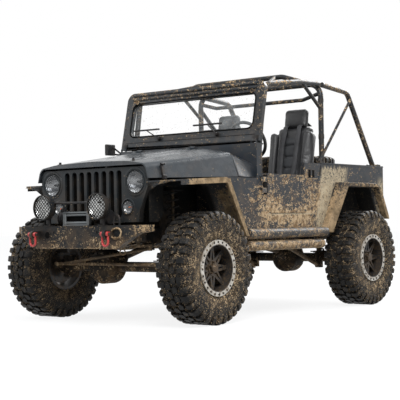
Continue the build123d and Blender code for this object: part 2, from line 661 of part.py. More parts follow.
def tailgate():
    """Drop-down tailgate with its hinge barrels at the foot."""
    body = box(-GATE_HALF, GATE_HALF, TUB_REAR_Y - GATE_T, TUB_REAR_Y, GATE_BOTTOM_Z, TUB_RAIL_Z - 2)
    body -= box(-GATE_HALF + 90, GATE_HALF - 90, TUB_REAR_Y - 6, TUB_REAR_Y, GATE_BOTTOM_Z + 80, TUB_RAIL_Z - 80)
    for side in (-1, 1):
        centre = (side * GATE_HINGE_X, GATE_AXIS_Y, GATE_AXIS_Z)
        x0, x1 = side * GATE_HINGE_X - BARREL_L / 2, side * GATE_HINGE_X + BARREL_L / 2
        body += hinge_barrel(centre, X_AXIS)
        body += box(x0, x1, TUB_REAR_Y - 6, TUB_REAR_Y + 6, GATE_BOTTOM_Z, GATE_BOTTOM_Z + 60)
        body += box(x0, x1, TUB_REAR_Y + 1, TUB_REAR_Y + 6, GATE_AXIS_Z, GATE_BOTTOM_Z)
        body -= hinge_bore(centre, X_AXIS)
    return body


def hood():
    """Hood skin from grille to cowl, open below and behind, with its front rim and hinge barrels."""
    body = loft([station(HOOD_FRONT), station(HOOD_REAR)])
    y0, y1 = HOOD_FRONT[0] + SKIN, HOOD_REAR[0] + 1
    body -= loft([station(HOOD_FRONT, SKIN, y0), station(HOOD_REAR, SKIN, y1)])
    body -= box(-HALF, HALF, y0, y1, HOOD_FRONT[2] - 30, HOOD_FRONT[2] + 1)
    mouth = extrude(station(HOOD_FRONT, SKIN, y0 + 1), amount=SKIN + 2)
    body -= mouth & box(-HALF, HALF, y0 - SKIN - 1, y0 + 1, HOOD_FRONT[2] - 1, GRILLE_TOP_Z + 14)
    for side in (-1, 1):
        centre = (side * HOOD_HINGE_X, HOOD_AXIS_Y, HOOD_AXIS_Z)
        x0, x1 = side * HOOD_HINGE_X - BARREL_L / 2, side * HOOD_HINGE_X + BARREL_L / 2
        body += box(x0, x1, HOOD_AXIS_Y - 70, HOOD_AXIS_Y - PANEL_GAP / 2, HOOD_AXIS_Z - 34, HOOD_AXIS_Z - 3)
        body += box(x0, x1, HOOD_AXIS_Y - PANEL_GAP / 2, HOOD_AXIS_Y, HOOD_AXIS_Z - BARREL_R + 1, HOOD_AXIS_Z - 3)
        body += hinge_barrel(centre, X_AXIS)
        body -= hinge_bore(centre, X_AXIS)
    return body


# columns: x, z of the grille panel's half outline, from the bottom middle out
GRILLE_OUTLINE = [(490, GRILLE_BOTTOM_Z), (500, 900), (GRILLE_HALF, 1085), (GRILLE_HALF, GRILLE_TOP_Z)]


def grille():
    """Grille panel with its slots and the lamps' holes."""
    radii = [1, 30, 60, 62, 62, 60, 30, 1]
    body = front_slab(mirrored(GRILLE_OUTLINE), NOSE_Y, NOSE_Y + GRILLE_T, radii)
    for i in range(SLOTS):
        x = (i - (SLOTS - 1) / 2) * SLOT_PITCH
        slot = [(x - SLOT_W / 2, 852), (x + SLOT_W / 2, 852), (x + SLOT_W / 2, 1222), (x - SLOT_W / 2, 1222)]
        body -= front_slab(slot, NOSE_Y - 1, NOSE_Y + GRILLE_T + 1, SLOT_W * 0.45)
    for side in (-1, 1):
        for x, z, dia in ((HEADLAMP_X, HEADLAMP_Z, HEADLAMP_DIA), (INDICATOR_X, INDICATOR_Z, INDICATOR_DIA)):
            body -= rod((side * x, NOSE_Y - 1, z), (side * x, NOSE_Y + GRILLE_T + 1, z), dia / 2 + FIT)
    return body


def front_lamps():
    """Round headlamps and indicators set in the grille panel: rim, domed lens and shell."""
    solids = []
    for x, z, dia, depth in ((HEADLAMP_X, HEADLAMP_Z, HEADLAMP_DIA, 70), (INDICATOR_X, INDICATOR_Z, INDICATOR_DIA, 30)):
        r = dia / 2
        # columns: radius, distance behind the grille's face
        profile = [(0, -18), (r * 0.55, -14), (r * 0.86, -4), (r * 0.9, -8), (r, -8), (r, GRILLE_T), (r * 0.8, depth), (0, depth)]
        lamp = revolve(outline(profile), axis=Axis.Y)
        solids.append(Pos(x, NOSE_Y, z) * lamp)
    return both_sides(Compound(children=solids))


def radiator():
    """Radiator core that shows through the grille's slots, standing on the rails."""
    wide = APRON_X - FIT
    return box(-wide, wide, NOSE_Y + 50, NOSE_Y + 100, RAIL_TOP, 1200)


APRON_X = 322
APRON_T = 8


def fender():
    """Left front fender: top, flared lip, rear leg, nose beside the grille and the apron on the rail."""
    outer = shift(FRONT_ARCH, FRONT_Y)
    nose_y = NOSE_Y - 15
    outer = [(nose_y, outer[0][1] - 6), *outer]
    inner = [(y, z - SHEET) for y, z in outer[:3]] + [(y - SHEET, z - 4) for y, z in outer[3:]]
    inner[-1] = (inner[-1][0], outer[-1][1])
    lip = [(y, z - LIP_H) for y, z in outer[:3]] + [(outer[3][0] - 34, outer[3][1] - 30), (outer[4][0] - 40, outer[4][1])]
    top = side_slab(outer[:4] + list(reversed(inner[:4])), APRON_X, FENDER_OUT_X)
    top -= box(APRON_X - 1, 576, nose_y - 1, FRONT_Y - 270, 1000, 1300)
    leg = side_slab(outer[3:] + list(reversed(inner[3:])), WHEELHOUSE_X, FENDER_OUT_X)
    edge = side_slab(outer + list(reversed(lip)), FENDER_OUT_X - 24, FENDER_OUT_X)
    body = top + leg + edge
    keep = plan_slab([(APRON_X, nose_y), (640, nose_y), (790, nose_y + 30), (FENDER_OUT_X, outer[1][0] + 30), (FENDER_OUT_X, 0),
                      (APRON_X, 0)], 600, 1300)
    body &= keep
    # columns: x, z of the nose panel between the grille and the wheel's opening
    opening = [(790, outer[0][1] - 14), (762, 1110), (662, 1092), (600, 1055), (552, 985), (524, 900), (516, GRILLE_BOTTOM_Z)]
    side_line = [(490, GRILLE_BOTTOM_Z), (500, 900), (GRILLE_HALF, 1085), (GRILLE_HALF, outer[0][1] - 1)]
    nose = front_slab([*opening, *side_line], NOSE_Y, NOSE_Y + GRILLE_T)
    nose -= front_slab(mirrored(GRILLE_OUTLINE), NOSE_Y - 1, NOSE_Y + GRILLE_T + 1, [1, 30, 60, 62, 62, 60, 30, 1])
    body -= front_slab(mirrored([(GRILLE_HALF, 800), (GRILLE_HALF, GRILLE_TOP_Z)]), nose_y - 1, NOSE_Y + GRILLE_T + 0.5)
    body += nose
    back = NOSE_Y + GRILLE_T
    body += side_slab([(back, GRILLE_BOTTOM_Z), (FRONT_Y - 262, GRILLE_BOTTOM_Z), (FRONT_Y - 200, 872),
                       (FRONT_Y - 195, outer[1][1] - 8), (back, outer[0][1] - 8)], 576, 584)
    bay_rear = COWL_FRONT_Y - 2
    apron = side_slab([(NOSE_Y + 50, RAIL_TOP), (bay_rear, RAIL_TOP), (bay_rear, BELT_Z - 14),
                       (outer[2][0], outer[2][1] - 8), (NOSE_Y + 50, outer[0][1] - 8)], APRON_X, APRON_X + APRON_T)
    apron -= box(APRON_X - 1, APRON_X + APRON_T + 1, FRONT_Y + 270, FRONT_Y + 370, RAIL_TOP, RAIL_TOP + 90)
    shelf = box(APRON_X, HALF - WALL - 2, outer[3][0] - 20, bay_rear, BELT_Z - 20, BELT_Z - 8)
    shelf -= side_slab(outer[3:] + [(outer[4][0], BELT_Z + 40), (0, BELT_Z + 40), (0, BELT_Z), (outer[3][0], BELT_Z)],
                       HALF - WALL, HALF + 1)
    return body + apron + shelf


def rear_flare():
    """Left rear wheel arch flare."""
    outer = shift(REAR_FLARE_OUT, REAR_Y)
    inner = shift(REAR_ARCH_IN, REAR_Y)
    flare = side_slab([*outer, *reversed(inner), (inner[0][0] - 18, 690)], HALF, HALF + 66)
    return flare


def rear_flares():
    """Both rear flares."""
    return both_sides(rear_flare())


def front_fenders():
    """Both front fenders."""
    return both_sides(fender())


ROCKER_R = 42
ROCKER_Y0, ROCKER_Y1 = FRONT_Y + 592, REAR_Y - 612
ROCKER_LEG_YS = (-380, 0, 380)


def rocker_guards():
    """Two guard tubes a side: one on the sill, and a step tube on legs from the rail."""
    upper_x, upper_z = HALF + ROCKER_R + 8, 700
    step_x, step_z = HALF + ROCKER_R + 2, 598
    upper = rod((upper_x, ROCKER_Y0, upper_z), (upper_x, ROCKER_Y1, upper_z), ROCKER_R)
    step = rod((step_x, ROCKER_Y0, step_z), (step_x, ROCKER_Y1 - 60, step_z), ROCKER_R)
    solids = []
    for y in ROCKER_LEG_YS:
        upper += box(HALF, upper_x, y - 40, y + 40, SILL_Z + 4, upper_z + 20)
        leg = front_slab([(RAIL_OUT, 645), (RAIL_OUT, 690), (step_x, step_z + 18), (step_x, step_z - 18)], y - 20, y + 20)
        step += leg
    solids += [upper, step]
    return both_sides(Compound(children=solids))


WINCH_Y = -1668
WINCH_R = 62
WINCH_PLATE_T = 10


def front_bumper():
    """Tapered steel bumper with swept wings, shackle ears, drain holes and the winch's plate."""
    half_low = 455
    # columns: x, z of the bumper seen from the front
    front = mirrored([(half_low, BUMPER_BOTTOM_Z), (640, 725), (BUMPER_HALF, 740), (BUMPER_HALF, BUMPER_TOP_Z)])
    # columns: x, y of the bumper seen from above
    plan = mirrored([(600, BUMPER_FRONT_Y), (BUMPER_HALF, BUMPER_FRONT_Y + 75), (BUMPER_HALF, BUMPER_FRONT_Y + 135),
                     (600, RAIL_FRONT_Y)])
    body = front_slab(front, BUMPER_FRONT_Y - 5, -1600) & plan_slab(plan, 500, 900)
    body += box(-300, 300, RAIL_FRONT_Y, WINCH_Y + WINCH_R + 8, BUMPER_TOP_Z - WINCH_PLATE_T, BUMPER_TOP_Z)
    ear_r = 28
    ear_y = -OVERALL_HALF + ear_r
    for side in (-1, 1):
        x = side * SHACKLE_X
        body += box(x - 12, x + 12, BUMPER_FRONT_Y, ear_y, SHACKLE_Z - 40, SHACKLE_Z + ear_r)
        body += rod((x - 12, ear_y, SHACKLE_Z), (x + 12, ear_y, SHACKLE_Z), ear_r)
        body -= rod((x - 20, ear_y, SHACKLE_Z), (x + 20, ear_y, SHACKLE_Z), 11 + RUN)
        body -= rod((side * 300, BUMPER_FRONT_Y - 1, SHACKLE_Z - 6), (side * 300, RAIL_FRONT_Y + 1, SHACKLE_Z - 6), 27)
    return body


def shackles():
    """Bow shackles hung from the bumper's ears."""
    x, y, z = SHACKLE_X, -OVERALL_HALF + 28, SHACKLE_Z
    bow_r, wire = 30, 9
    drop = 62
    body = rod((x - bow_r - 16, y, z), (x + bow_r + 16, y, z), 11)
    for side in (-1, 1):
        body += rod((x + side * (bow_r - 10), y, z), (x + side * (bow_r + 10), y, z), 19)
        body += rod((x + side * bow_r, y, z), (x + side * bow_r, y, z - drop), wire)
    bow = Rot(90, 0, 0) * Torus(bow_r, wire)
    bow -= box(-100, 100, -100, 100, 0, 100)
    body += Pos(x, y, z - drop) * bow
    return both_sides(body)


def winch():
    """Winch on its plate with the roller fairlead in front, on the bumper."""
    z = BUMPER_TOP_Z + WINCH_R
    drum = rod((-230, WINCH_Y, z), (230, WINCH_Y, z), 40)
    for side in (-1, 1):
        drum += rod((side * 150, WINCH_Y, z), (side * 270, WINCH_Y, z), WINCH_R)
        drum += box(side * 150, side * 270, WINCH_Y - 45, WINCH_Y + 45, BUMPER_TOP_Z, z)
    y0, y1 = BUMPER_FRONT_Y + 12, BUMPER_FRONT_Y + 54
    lead = box(-142, 142, y0, y1, BUMPER_TOP_Z, BUMPER_TOP_Z + 112)
    lead -= box(-112, 112, y0 - 1, y1 + 1, BUMPER_TOP_Z + 30, BUMPER_TOP_Z + 92)
    for side in (-1, 1):
        lead += rod((side * 124, y0, BUMPER_TOP_Z + 12), (side * 124, y0, BUMPER_TOP_Z + 100), 15)
    lead += rod((-120, y0, BUMPER_TOP_Z + 22), (120, y0, BUMPER_TOP_Z + 22), 12)
    return Compound(children=[*drum.solids(), *lead.solids()])


SPOT_X = 297
SPOT_Z = 938
SPOT_R = 102
SPOT_FACE_Y = -1858


def spot_lamps():
    """Two round driving lamps on feet on the bumper, joined by a bar."""
    y = SPOT_FACE_Y
    body = rod((-SPOT_X, y + 54, SPOT_Z + 32), (SPOT_X, y + 54, SPOT_Z + 32), 10)
    for side in (-1, 1):
        # columns: radius, distance behind the face
        profile = [(0, -10), (SPOT_R * 0.6, -6), (SPOT_R * 0.92, 2), (SPOT_R, 2), (SPOT_R, 34), (SPOT_R * 0.84, 70),
                   (SPOT_R * 0.4, 104), (0, 108)]
        body += Pos(side * SPOT_X, y, SPOT_Z) * revolve(outline(profile), axis=Axis.Y)
        body += box(side * SPOT_X - 22, side * SPOT_X + 22, BUMPER_FRONT_Y + 2, BUMPER_FRONT_Y + 20, BUMPER_TOP_Z, SPOT_Z - 40)
    return body


RECEIVER = 63.5
RECEIVER_BORE = 51.2
RECEIVER_Z = 695
HITCH_PIN_R = 8.1
HITCH_PIN_Y = OVERALL_HALF - 35


def rear_bumper():
    """Rear cross beam with a square receiver tube for a hitch."""
    body = box(-700, 700, RAIL_REAR_Y, RAIL_REAR_Y + 80, RAIL_TOP - 110, RAIL_TOP)
    body = chamfer(body.edges().filter_by(Axis.Z), 30)
    half = RECEIVER / 2
    body += box(-half, half, RAIL_REAR_Y + 10, OVERALL_HALF, RECEIVER_Z - half, RECEIVER_Z + half)
    bore = RECEIVER_BORE / 2
    body -= box(-bore, bore, RAIL_REAR_Y + 15, OVERALL_HALF + 1, RECEIVER_Z - bore, RECEIVER_Z + bore)
    body -= rod((-half - 1, HITCH_PIN_Y, RECEIVER_Z), (half + 1, HITCH_PIN_Y, RECEIVER_Z), HITCH_PIN_R)
    return body


def tail_lamps():
    """Upright tail lamps on the rear posts."""
    lamp = box(640, 735, TUB_REAR_Y, TUB_REAR_Y + 26, 1000, 1150)
    return both_sides(fillet(lamp.edges().filter_by(Axis.Y), 14))


# Windscreen

SCREEN_OPEN_HALF = 700
SCREEN_OPEN_Z0, SCREEN_OPEN_Z1 = 120, 437
GLASS_T = 6


def screen_place(shape):
    """Moves a piece from the windscreen's own upright frame to its lean on the cowl."""
    return Pos(0, SCREEN_BASE_Y, SCREEN_BASE_Z) * Rot(-SCREEN_LEAN, 0, 0) * shape


def windscreen_frame():
    """Folding windscreen frame with rolled top rails and hinge barrels."""
    body = front_slab([(-SCREEN_HALF, 0), (SCREEN_HALF, 0), (SCREEN_HALF, SCREEN_H), (-SCREEN_HALF, SCREEN_H)],
                      0, SCREEN_T, [12, 12, 78, 78])
    a, z0, z1 = SCREEN_OPEN_HALF, SCREEN_OPEN_Z0, SCREEN_OPEN_Z1
    body -= front_slab([(-a, z0), (a, z0), (a, z1), (-a, z1)], -1, SCREEN_T + 1, 56)
    for z in (SCREEN_H - 26, SCREEN_H - 64):
        body += rod((-SCREEN_HALF + 80, 0, z), (SCREEN_HALF - 80, 0, z), 15)
    body = screen_place(body)
    for side in (-1, 1):
        centre = (side * SCREEN_HINGE_X, SCREEN_AXIS_Y, SCREEN_AXIS_Z)
        x0, x1 = side * SCREEN_HINGE_X - BARREL_L / 2, side * SCREEN_HINGE_X + BARREL_L / 2
        body += hinge_barrel(centre, X_AXIS)
        body += box(x0, x1, SCREEN_AXIS_Y, SCREEN_BASE_Y + 12, SCREEN_BASE_Z + 1, SCREEN_BASE_Z + 26)
        body -= hinge_bore(centre, X_AXIS)
    return body


def windscreen_glass():
    """Single pane in the frame's opening."""
    a, z0, z1 = SCREEN_OPEN_HALF - FIT, SCREEN_OPEN_Z0 + FIT, SCREEN_OPEN_Z1 - FIT
    mid = SCREEN_T / 2
    pane = front_slab([(-a, z0), (a, z0), (a, z1), (-a, z1)], mid - GLASS_T / 2, mid + GLASS_T / 2, 56 - FIT)
    return screen_place(pane)


# columns: pivot x, blade's first x, blade's last x, blade's z up the frame
WIPERS = [(330, 60, 375, 178), (-330, -650, -335, 172)]


def wipers():
    """Two wipers in front of the glass, pivoted on the frame's lower panel."""
    solids = []
    for pivot_x, x0, x1, z in WIPERS:
        pivot = rod((pivot_x, 0, 84), (pivot_x, -26, 84), 13)
        middle = ((x0 + x1) / 2, -18, z)
        arm = rod((pivot_x, -18, 84), middle, 5)
        blade = box(x0, x1, -24, -10, z - 6, z + 6)
        solids.append(screen_place(pivot + arm + blade))
    return Compound(children=solids)


# Roll cage

# columns: y, z along one side of the cage, from the floor beside the dash to the hoop
PILLAR_ROUTE = [(-268, FLOOR_TOP), (-268, 1440), (-178, 1990), (388, 2056), (HOOP_Y - CAGE_R - FIT, 2066)]
BRACE_ROUTE = [(HOOP_Y + CAGE_R + FIT, 2062), (1205, 2026), (1672, TUB_RAIL_Z + 12)]
ARCH_Y = 415
ARCH_Z = 2125


def cage_hoop():
    """Main hoop from floor to floor, with its inner cross bar."""
    route = [(-CAGE_X, HOOP_Y, FLOOR_TOP), (-CAGE_X, HOOP_Y, HOOP_TOP_Z), (CAGE_X, HOOP_Y, HOOP_TOP_Z),
             (CAGE_X, HOOP_Y, FLOOR_TOP)]
    body = pipe(route, CAGE_R, 120)
    bar = [(-CAGE_X, HOOP_Y, 1986), (-511, HOOP_Y, 1934), (511, HOOP_Y, 1934), (CAGE_X, HOOP_Y, 1986)]
    return body + pipe(bar, 18, 80)


def side_tubes():
    """Left pillar and roof rail in one tube, with its gusset to the hoop."""
    body = pipe([(CAGE_X, y, z) for y, z in PILLAR_ROUTE], CAGE_R, [140, 120, 300])
    gusset = rod((CAGE_X, 430, 2050), (CAGE_X, HOOP_Y, 1835), 17)
    gusset -= rod((CAGE_X, HOOP_Y, 1600), (CAGE_X, HOOP_Y, 2200), CAGE_R + FIT)
    return body + gusset


def cage_side_tubes():
    """Pillars and roof rails of both sides."""
    return both_sides(side_tubes())


def cage_roof_tubes():
    """Arched cross tube over the rails, with a diagonal to each front corner."""
    route = [(-CAGE_X, ARCH_Y, 2059), (-500, ARCH_Y, ARCH_Z), (500, ARCH_Y, ARCH_Z), (CAGE_X, ARCH_Y, 2059)]
    body = pipe(route, CAGE_R - 2, 160)
    for side in (-1, 1):
        body += rod((side * 420, ARCH_Y, ARCH_Z), (side * CAGE_X, -120, 1996), 17)
    clear = pipe([(CAGE_X, y, z) for y, z in PILLAR_ROUTE], CAGE_R + FIT, [140, 120, 300])
    return body - clear - other_side(clear)


def rear_brace():
    """Left rear brace from the hoop to a foot on the tub's rail."""
    body = pipe([(CAGE_X, y, z) for y, z in BRACE_ROUTE], CAGE_R, 90)
    foot_y = BRACE_ROUTE[-1][0]
    body += box(CAGE_X - CAGE_R, HALF, foot_y - 44, foot_y + 40, TUB_RAIL_Z, TUB_RAIL_Z + 14)
    body -= box(CAGE_X - 60, HALF + 60, foot_y - 100, foot_y + 100, TUB_RAIL_Z - 60, TUB_RAIL_Z)
    return body


def cage_rear_braces():
    """Rear braces, with a strut on the left and a diagonal on the right."""
    left = rear_brace()
    strut_x = CAGE_X + CAGE_R + 13 + FIT
    strut = rod((strut_x, 1205, 1955), (strut_x, 634, TUB_RAIL_Z + 12), 13)
    strut += box(strut_x - 13, strut_x + 20, 612, 656, TUB_RAIL_Z, TUB_RAIL_Z + 14)
    strut -= box(strut_x - 60, strut_x + 60, 560, 700, TUB_RAIL_Z - 60, TUB_RAIL_Z)
    right = other_side(rear_brace())
    diagonal = rod((-CAGE_X, HOOP_Y, 1930), (-CAGE_X, 1440, TUB_RAIL_Z + 12), 20)
    diagonal += box(-CAGE_X + 20, -HALF, 1400, 1480, TUB_RAIL_Z, TUB_RAIL_Z + 14)
    diagonal -= rod((-CAGE_X, HOOP_Y, 1600), (-CAGE_X, HOOP_Y, 2200), CAGE_R + FIT)
    diagonal -= box(-CAGE_X - 80, -CAGE_X + 80, 1350, 1530, TUB_RAIL_Z - 60, TUB_RAIL_Z)
    return Compound(children=[*left.solids(), *strut.solids(), *right.solids(), *diagonal.solids()])


# Cabin

SEAT_X = 400
SEAT_W = 490
WHEEL_CENTRE = (385, 20, 1530)
WHEEL_TILT = 30
WHEEL_RING_R = 178


def seat():
    """Left bucket seat: cushion on its riser, raked back and headrest, as one plain solid."""
    x0, x1 = SEAT_X - SEAT_W / 2, SEAT_X + SEAT_W / 2
    # columns: y, z of the seat seen from the side
    profile = [(90, 980), (110, 1070), (540, 1050), (640, 1400), (700, 1690), (735, 1800), (800, 1800), (842, 1700),
               (780, 1370), (700, 1000), (640, 950), (110, 950)]
    body = side_slab(profile, x0, x1, [20, 30, 30, 60, 60, 25, 25, 60, 60, 30, 30, 20])
    body += side_slab([(700, 1760), (722, 1885), (796, 1885), (808, 1760)], SEAT_X - 105, SEAT_X + 105, [1, 24, 24, 1])
    return body + box(SEAT_X - 180, SEAT_X + 180, 180, 600, FLOOR_TOP, 955)


def seats():
    """Both bucket seats."""
    return both_sides(seat())


def wheel_axis():
    """Unit vector along the steering column, towards the driver."""
    return Vector(0, cos(radians(WHEEL_TILT)), sin(radians(WHEEL_TILT)))


def dashboard():
    """Dash panel under the windscreen, instrument pod and the steering column with its shaft."""
    y1 = DASH_Y + WALL + 130
    body = box(-660, 660, DASH_Y + WALL, y1, 1240, COWL_TOP_Z - SHEET)
    body = fillet(body.edges().filter_by(Axis.X).group_by(Axis.Y)[-1], 20)
    body += box(80, 480, DASH_Y + 106, y1 + 60, COWL_TOP_Z - 60, 1618)
    hub = Vector(*WHEEL_CENTRE)
    d = wheel_axis()
    start = hub - d * 380
    body += rod(tuple(start), tuple(hub - d * 40), 24)
    body += rod(tuple(start), tuple(hub + d * 4), 10)
    return body


def steering_wheel():
    """Ring, three spokes and hub, turning on the column's shaft."""
    d = wheel_axis()
    plane = Plane(origin=WHEEL_CENTRE, x_dir=(1, 0, 0), z_dir=tuple(d))
    body = Torus(WHEEL_RING_R, 15)
    body += Pos(0, 0, -8) * Cylinder(34, 36)
    for angle in (90, 210, 330):
        spoke = Pos(WHEEL_RING_R / 2, 0, -2) * Box(WHEEL_RING_R, 26, 8)
        body += Rot(0, 0, angle) * spoke
    body -= Pos(0, 0, -20) * Cylinder(10 + RUN, 60)
    return plane * body


SPARE_Y = 1270


def spare_wheel():
    """Spare wheel lying flat across the wheel houses, with its hold-down bar and knob."""
    z = REAR_ARCH_IN[1][1] + SHEET + TYRE_WIDTH / 2 + FIT
    place = Pos(0, SPARE_Y, z) * Rot(0, -90, 0)
    body = place * (tyre() + rod((-60, 0, 0), (60, 0, 0), BEAD_R + 6))
    return body + rod((0, SPARE_Y, z), (0, SPARE_Y, z + 190), 16) + box(-100, 100, SPARE_Y - 14, SPARE_Y + 14, z + 184, z + 196)


def mirror():
    """Door mirror on two arms at the right of the windscreen's base."""
    head = fillet(box(-934, -896, -440, -340, 1442, 1546).edges().filter_by(Axis.Y), 10)
    y = -390
    foot = box(-HALF, -HALF - 8, y - 14, y + 40, 1424, 1452)
    return head + foot + rod((-HALF - 6, y, 1440), (-900, y, 1456), 8) + rod((-HALF - 6, y + 26, 1440), (-900, y + 26, 1520), 8)


def nodes():
    """Every node's name and its shape."""
    parts = {
        "chassis_frame": chassis_frame(),
        "front_axle": front_axle(),
        "rear_axle": rear_axle(),
        "front_suspension": suspension(FRONT_Y, 1, SPRING_FRONT_Y, TOWER_Z, 7),
        "rear_suspension": suspension(REAR_Y, -1, SPRING_REAR_Y, REAR_TOWER_Z, 5),
        "knuckle_left": knuckle(),
        "knuckle_right": other_side(knuckle()),
        "steering_links": steering_links(),
        "pitman_arm": pitman_arm(),
        "steering_box": steering_box(),
        "powertrain": powertrain(),
        "exhaust": exhaust(),
        "fuel_tank": fuel_tank(),
        "tub": tub(),
        "door_left": door(),
        "door_right": other_side(door()),
        "tailgate": tailgate(),
        "hood": hood(),
        "grille": grille(),
        "front_lamps": front_lamps(),
        "radiator": radiator(),
        "front_fenders": front_fenders(),
        "rear_flares": rear_flares(),
        "rocker_guards": rocker_guards(),
        "front_bumper": front_bumper(),
        "shackles": shackles(),
        "winch": winch(),
        "spot_lamps": spot_lamps(),
        "rear_bumper": rear_bumper(),
        "tail_lamps": tail_lamps(),
        "windscreen_frame": windscreen_frame(),
        "windscreen_glass": windscreen_glass(),
        "wipers": wipers(),
        "cage_hoop": cage_hoop(),
        "cage_side_tubes": cage_side_tubes(),
        "cage_roof_tubes": cage_roof_tubes(),
        "cage_rear_braces": cage_rear_braces(),
        "seats": seats(),
        "dashboard": dashboard(),
        "steering_wheel": steering_wheel(),
        "spare_wheel": spare_wheel(),
        "mirror": mirror(),
    }
    one_tyre, one_rim = tyre(), rim()
    for name, side, y in (("front_left", 1, FRONT_Y), ("front_right", -1, FRONT_Y), ("rear_left", 1, REAR_Y),
                          ("rear_right", -1, REAR_Y)):
        parts["tyre_" + name] = place_wheel(one_tyre, side, y)
        parts["rim_" + name] = place_wheel(one_rim, side, y)
    return parts


for node, shape in nodes().items():
    export_step(shape, "parts/" + node + ".step")
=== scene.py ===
"""Looks of an open off-road vehicle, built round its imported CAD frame.

The CAD nodes keep their places. This script gives each one its finish, and replaces or dresses
those whose real surface is finer than the solid: tyres, lamps, springs, seats and small hardware.
"""

import logging
from dataclasses import dataclass
from enum import Enum
from functools import reduce
from math import atan2, cos, pi, radians, sin, sqrt
from typing import Iterable, Sequence

import bmesh
import bpy
from mathutils import Matrix, Vector


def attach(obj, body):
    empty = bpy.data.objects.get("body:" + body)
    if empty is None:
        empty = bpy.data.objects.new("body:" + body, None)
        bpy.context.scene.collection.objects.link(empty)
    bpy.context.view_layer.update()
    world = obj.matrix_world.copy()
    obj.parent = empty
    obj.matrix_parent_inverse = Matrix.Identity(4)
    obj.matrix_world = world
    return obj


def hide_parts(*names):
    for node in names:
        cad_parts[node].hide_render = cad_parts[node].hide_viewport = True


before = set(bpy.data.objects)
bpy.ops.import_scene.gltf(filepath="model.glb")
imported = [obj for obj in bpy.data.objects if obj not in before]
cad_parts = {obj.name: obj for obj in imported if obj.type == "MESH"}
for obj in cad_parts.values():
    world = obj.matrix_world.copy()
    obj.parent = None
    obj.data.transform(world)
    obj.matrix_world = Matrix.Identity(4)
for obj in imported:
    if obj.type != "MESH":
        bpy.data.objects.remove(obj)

log = logging.getLogger("vehicle")
Point = tuple[float, float, float]
Flat = tuple[float, float]
Colour = tuple[float, float, float]
Socket = bpy.types.NodeSocket

AXLE_Z = 0.4445
AXLE_Y = 1.2
WHEEL_X = 0.83
CABIN_FLOOR = 0.812
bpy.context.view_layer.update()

# Faces round a bolt head, and the reaches within which vertices are welded
HEX = 6
WELD = 0.00001
CAD_WELD = 0.00002


# Shading


class Shader:
    """Node tree of one material, with short calls for the nodes that the finishes share."""

    def __init__(self, name: str) -> None:
        """Start an empty principled material."""
        self.material = bpy.data.materials.new("finish_" + name)
        self.material.use_nodes = True
        self.tree = self.material.node_tree
        self.surface = self.tree.nodes["Principled BSDF"]
        self.place = self.add("ShaderNodeTexCoord").outputs["Object"]

    def add(self, kind: str, **settings: object) -> bpy.types.Node:
        """Add one node and set its properties."""
        node = self.tree.nodes.new(kind)
        for key, value in settings.items():
            setattr(node, key, value)
        return node

    def feed(self, socket: Socket, value: object) -> None:
        """Link a socket's value to an input, or set it as a constant."""
        if isinstance(value, bpy.types.NodeSocket):
            self.tree.links.new(value, socket)
        elif isinstance(value, tuple) and len(value) == 3 and socket.type == "RGBA":
            socket.default_value = (*value, 1.0)
        else:
            socket.default_value = value

    def set(self, name: str, value: object) -> None:
        """Set or link an input of the principled surface."""
        self.feed(self.surface.inputs[name], value)

    def calc(self, operation: str, a: object, b: object = 0.0, clamp: bool = False) -> Socket:
        """One step of arithmetic."""
        node = self.add("ShaderNodeMath", operation=operation, use_clamp=clamp)
        self.feed(node.inputs[0], a)
        self.feed(node.inputs[1], b)
        return node.outputs[0]

    def plus(self, *terms: object) -> Socket:
        """Sum of its terms."""
        return reduce(lambda a, b: self.calc("ADD", a, b), terms)

    def times(self, *factors: object) -> Socket:
        """Product of its factors."""
        return reduce(lambda a, b: self.calc("MULTIPLY", a, b), factors)

    def minus(self, a: object, b: object) -> Socket:
        """The first value less the second."""
        return self.calc("SUBTRACT", a, b)

    def most(self, a: object, b: object) -> Socket:
        """The larger of two values."""
        return self.calc("MAXIMUM", a, b)

    def size(self, value: object) -> Socket:
        """A value without its sign."""
        return self.calc("ABSOLUTE", value)

    def span(self, value: object, low: float, high: float, start: object = 0.0,
             end: object = 1.0) -> Socket:
        """Map low..high smoothly to start..end, held at both ends."""
        node = self.add("ShaderNodeMapRange", clamp=True, interpolation_type="SMOOTHSTEP")
        for socket, item in zip(node.inputs, (value, low, high, start, end)):
            self.feed(socket, item)
        return node.outputs[0]

    def split(self) -> tuple[Socket, Socket, Socket]:
        """X, Y and Z of the place on the object."""
        node = self.add("ShaderNodeSeparateXYZ")
        self.tree.links.new(self.place, node.inputs[0])
        return node.outputs[0], node.outputs[1], node.outputs[2]

    def noise(self, scale: float, detail: float = 3.0, roughness: float = 0.6,
              stretch: Point = (1, 1, 1), warp: float = 0.0) -> Socket:
        """Noise over the object, optionally stretched along its axes."""
        mapping = self.add("ShaderNodeMapping")
        self.tree.links.new(self.place, mapping.inputs[0])
        mapping.inputs["Scale"].default_value = stretch
        node = self.add("ShaderNodeTexNoise")
        self.tree.links.new(mapping.outputs[0], node.inputs["Vector"])
        settings = {"Scale": scale, "Detail": detail, "Roughness": roughness, "Distortion": warp}
        for key, value in settings.items():
            node.inputs[key].default_value = value
        return node.outputs["Fac"]

    def mix(self, factor: object, first: object, second: object) -> Socket:
        """Blend two colours."""
        node = self.add("ShaderNodeMix", data_type="RGBA")
        for index, item in ((0, factor), (6, first), (7, second)):
            self.feed(node.inputs[index], item)
        return node.outputs[2]

    def relief(self, height: Socket, strength: float, distance: float) -> None:
        """Bump the surface by a height."""
        node = self.add("ShaderNodeBump")
        node.inputs["Strength"].default_value = strength
        node.inputs["Distance"].default_value = distance
        self.tree.links.new(height, node.inputs["Height"])
        self.tree.links.new(node.outputs[0], self.surface.inputs["Normal"])


def scaled(colour: Colour, share: float, lift: float = 0.0) -> Colour:
    """A colour multiplied by a share, then lifted by a grey."""
    return tuple(c * share + lift for c in colour)


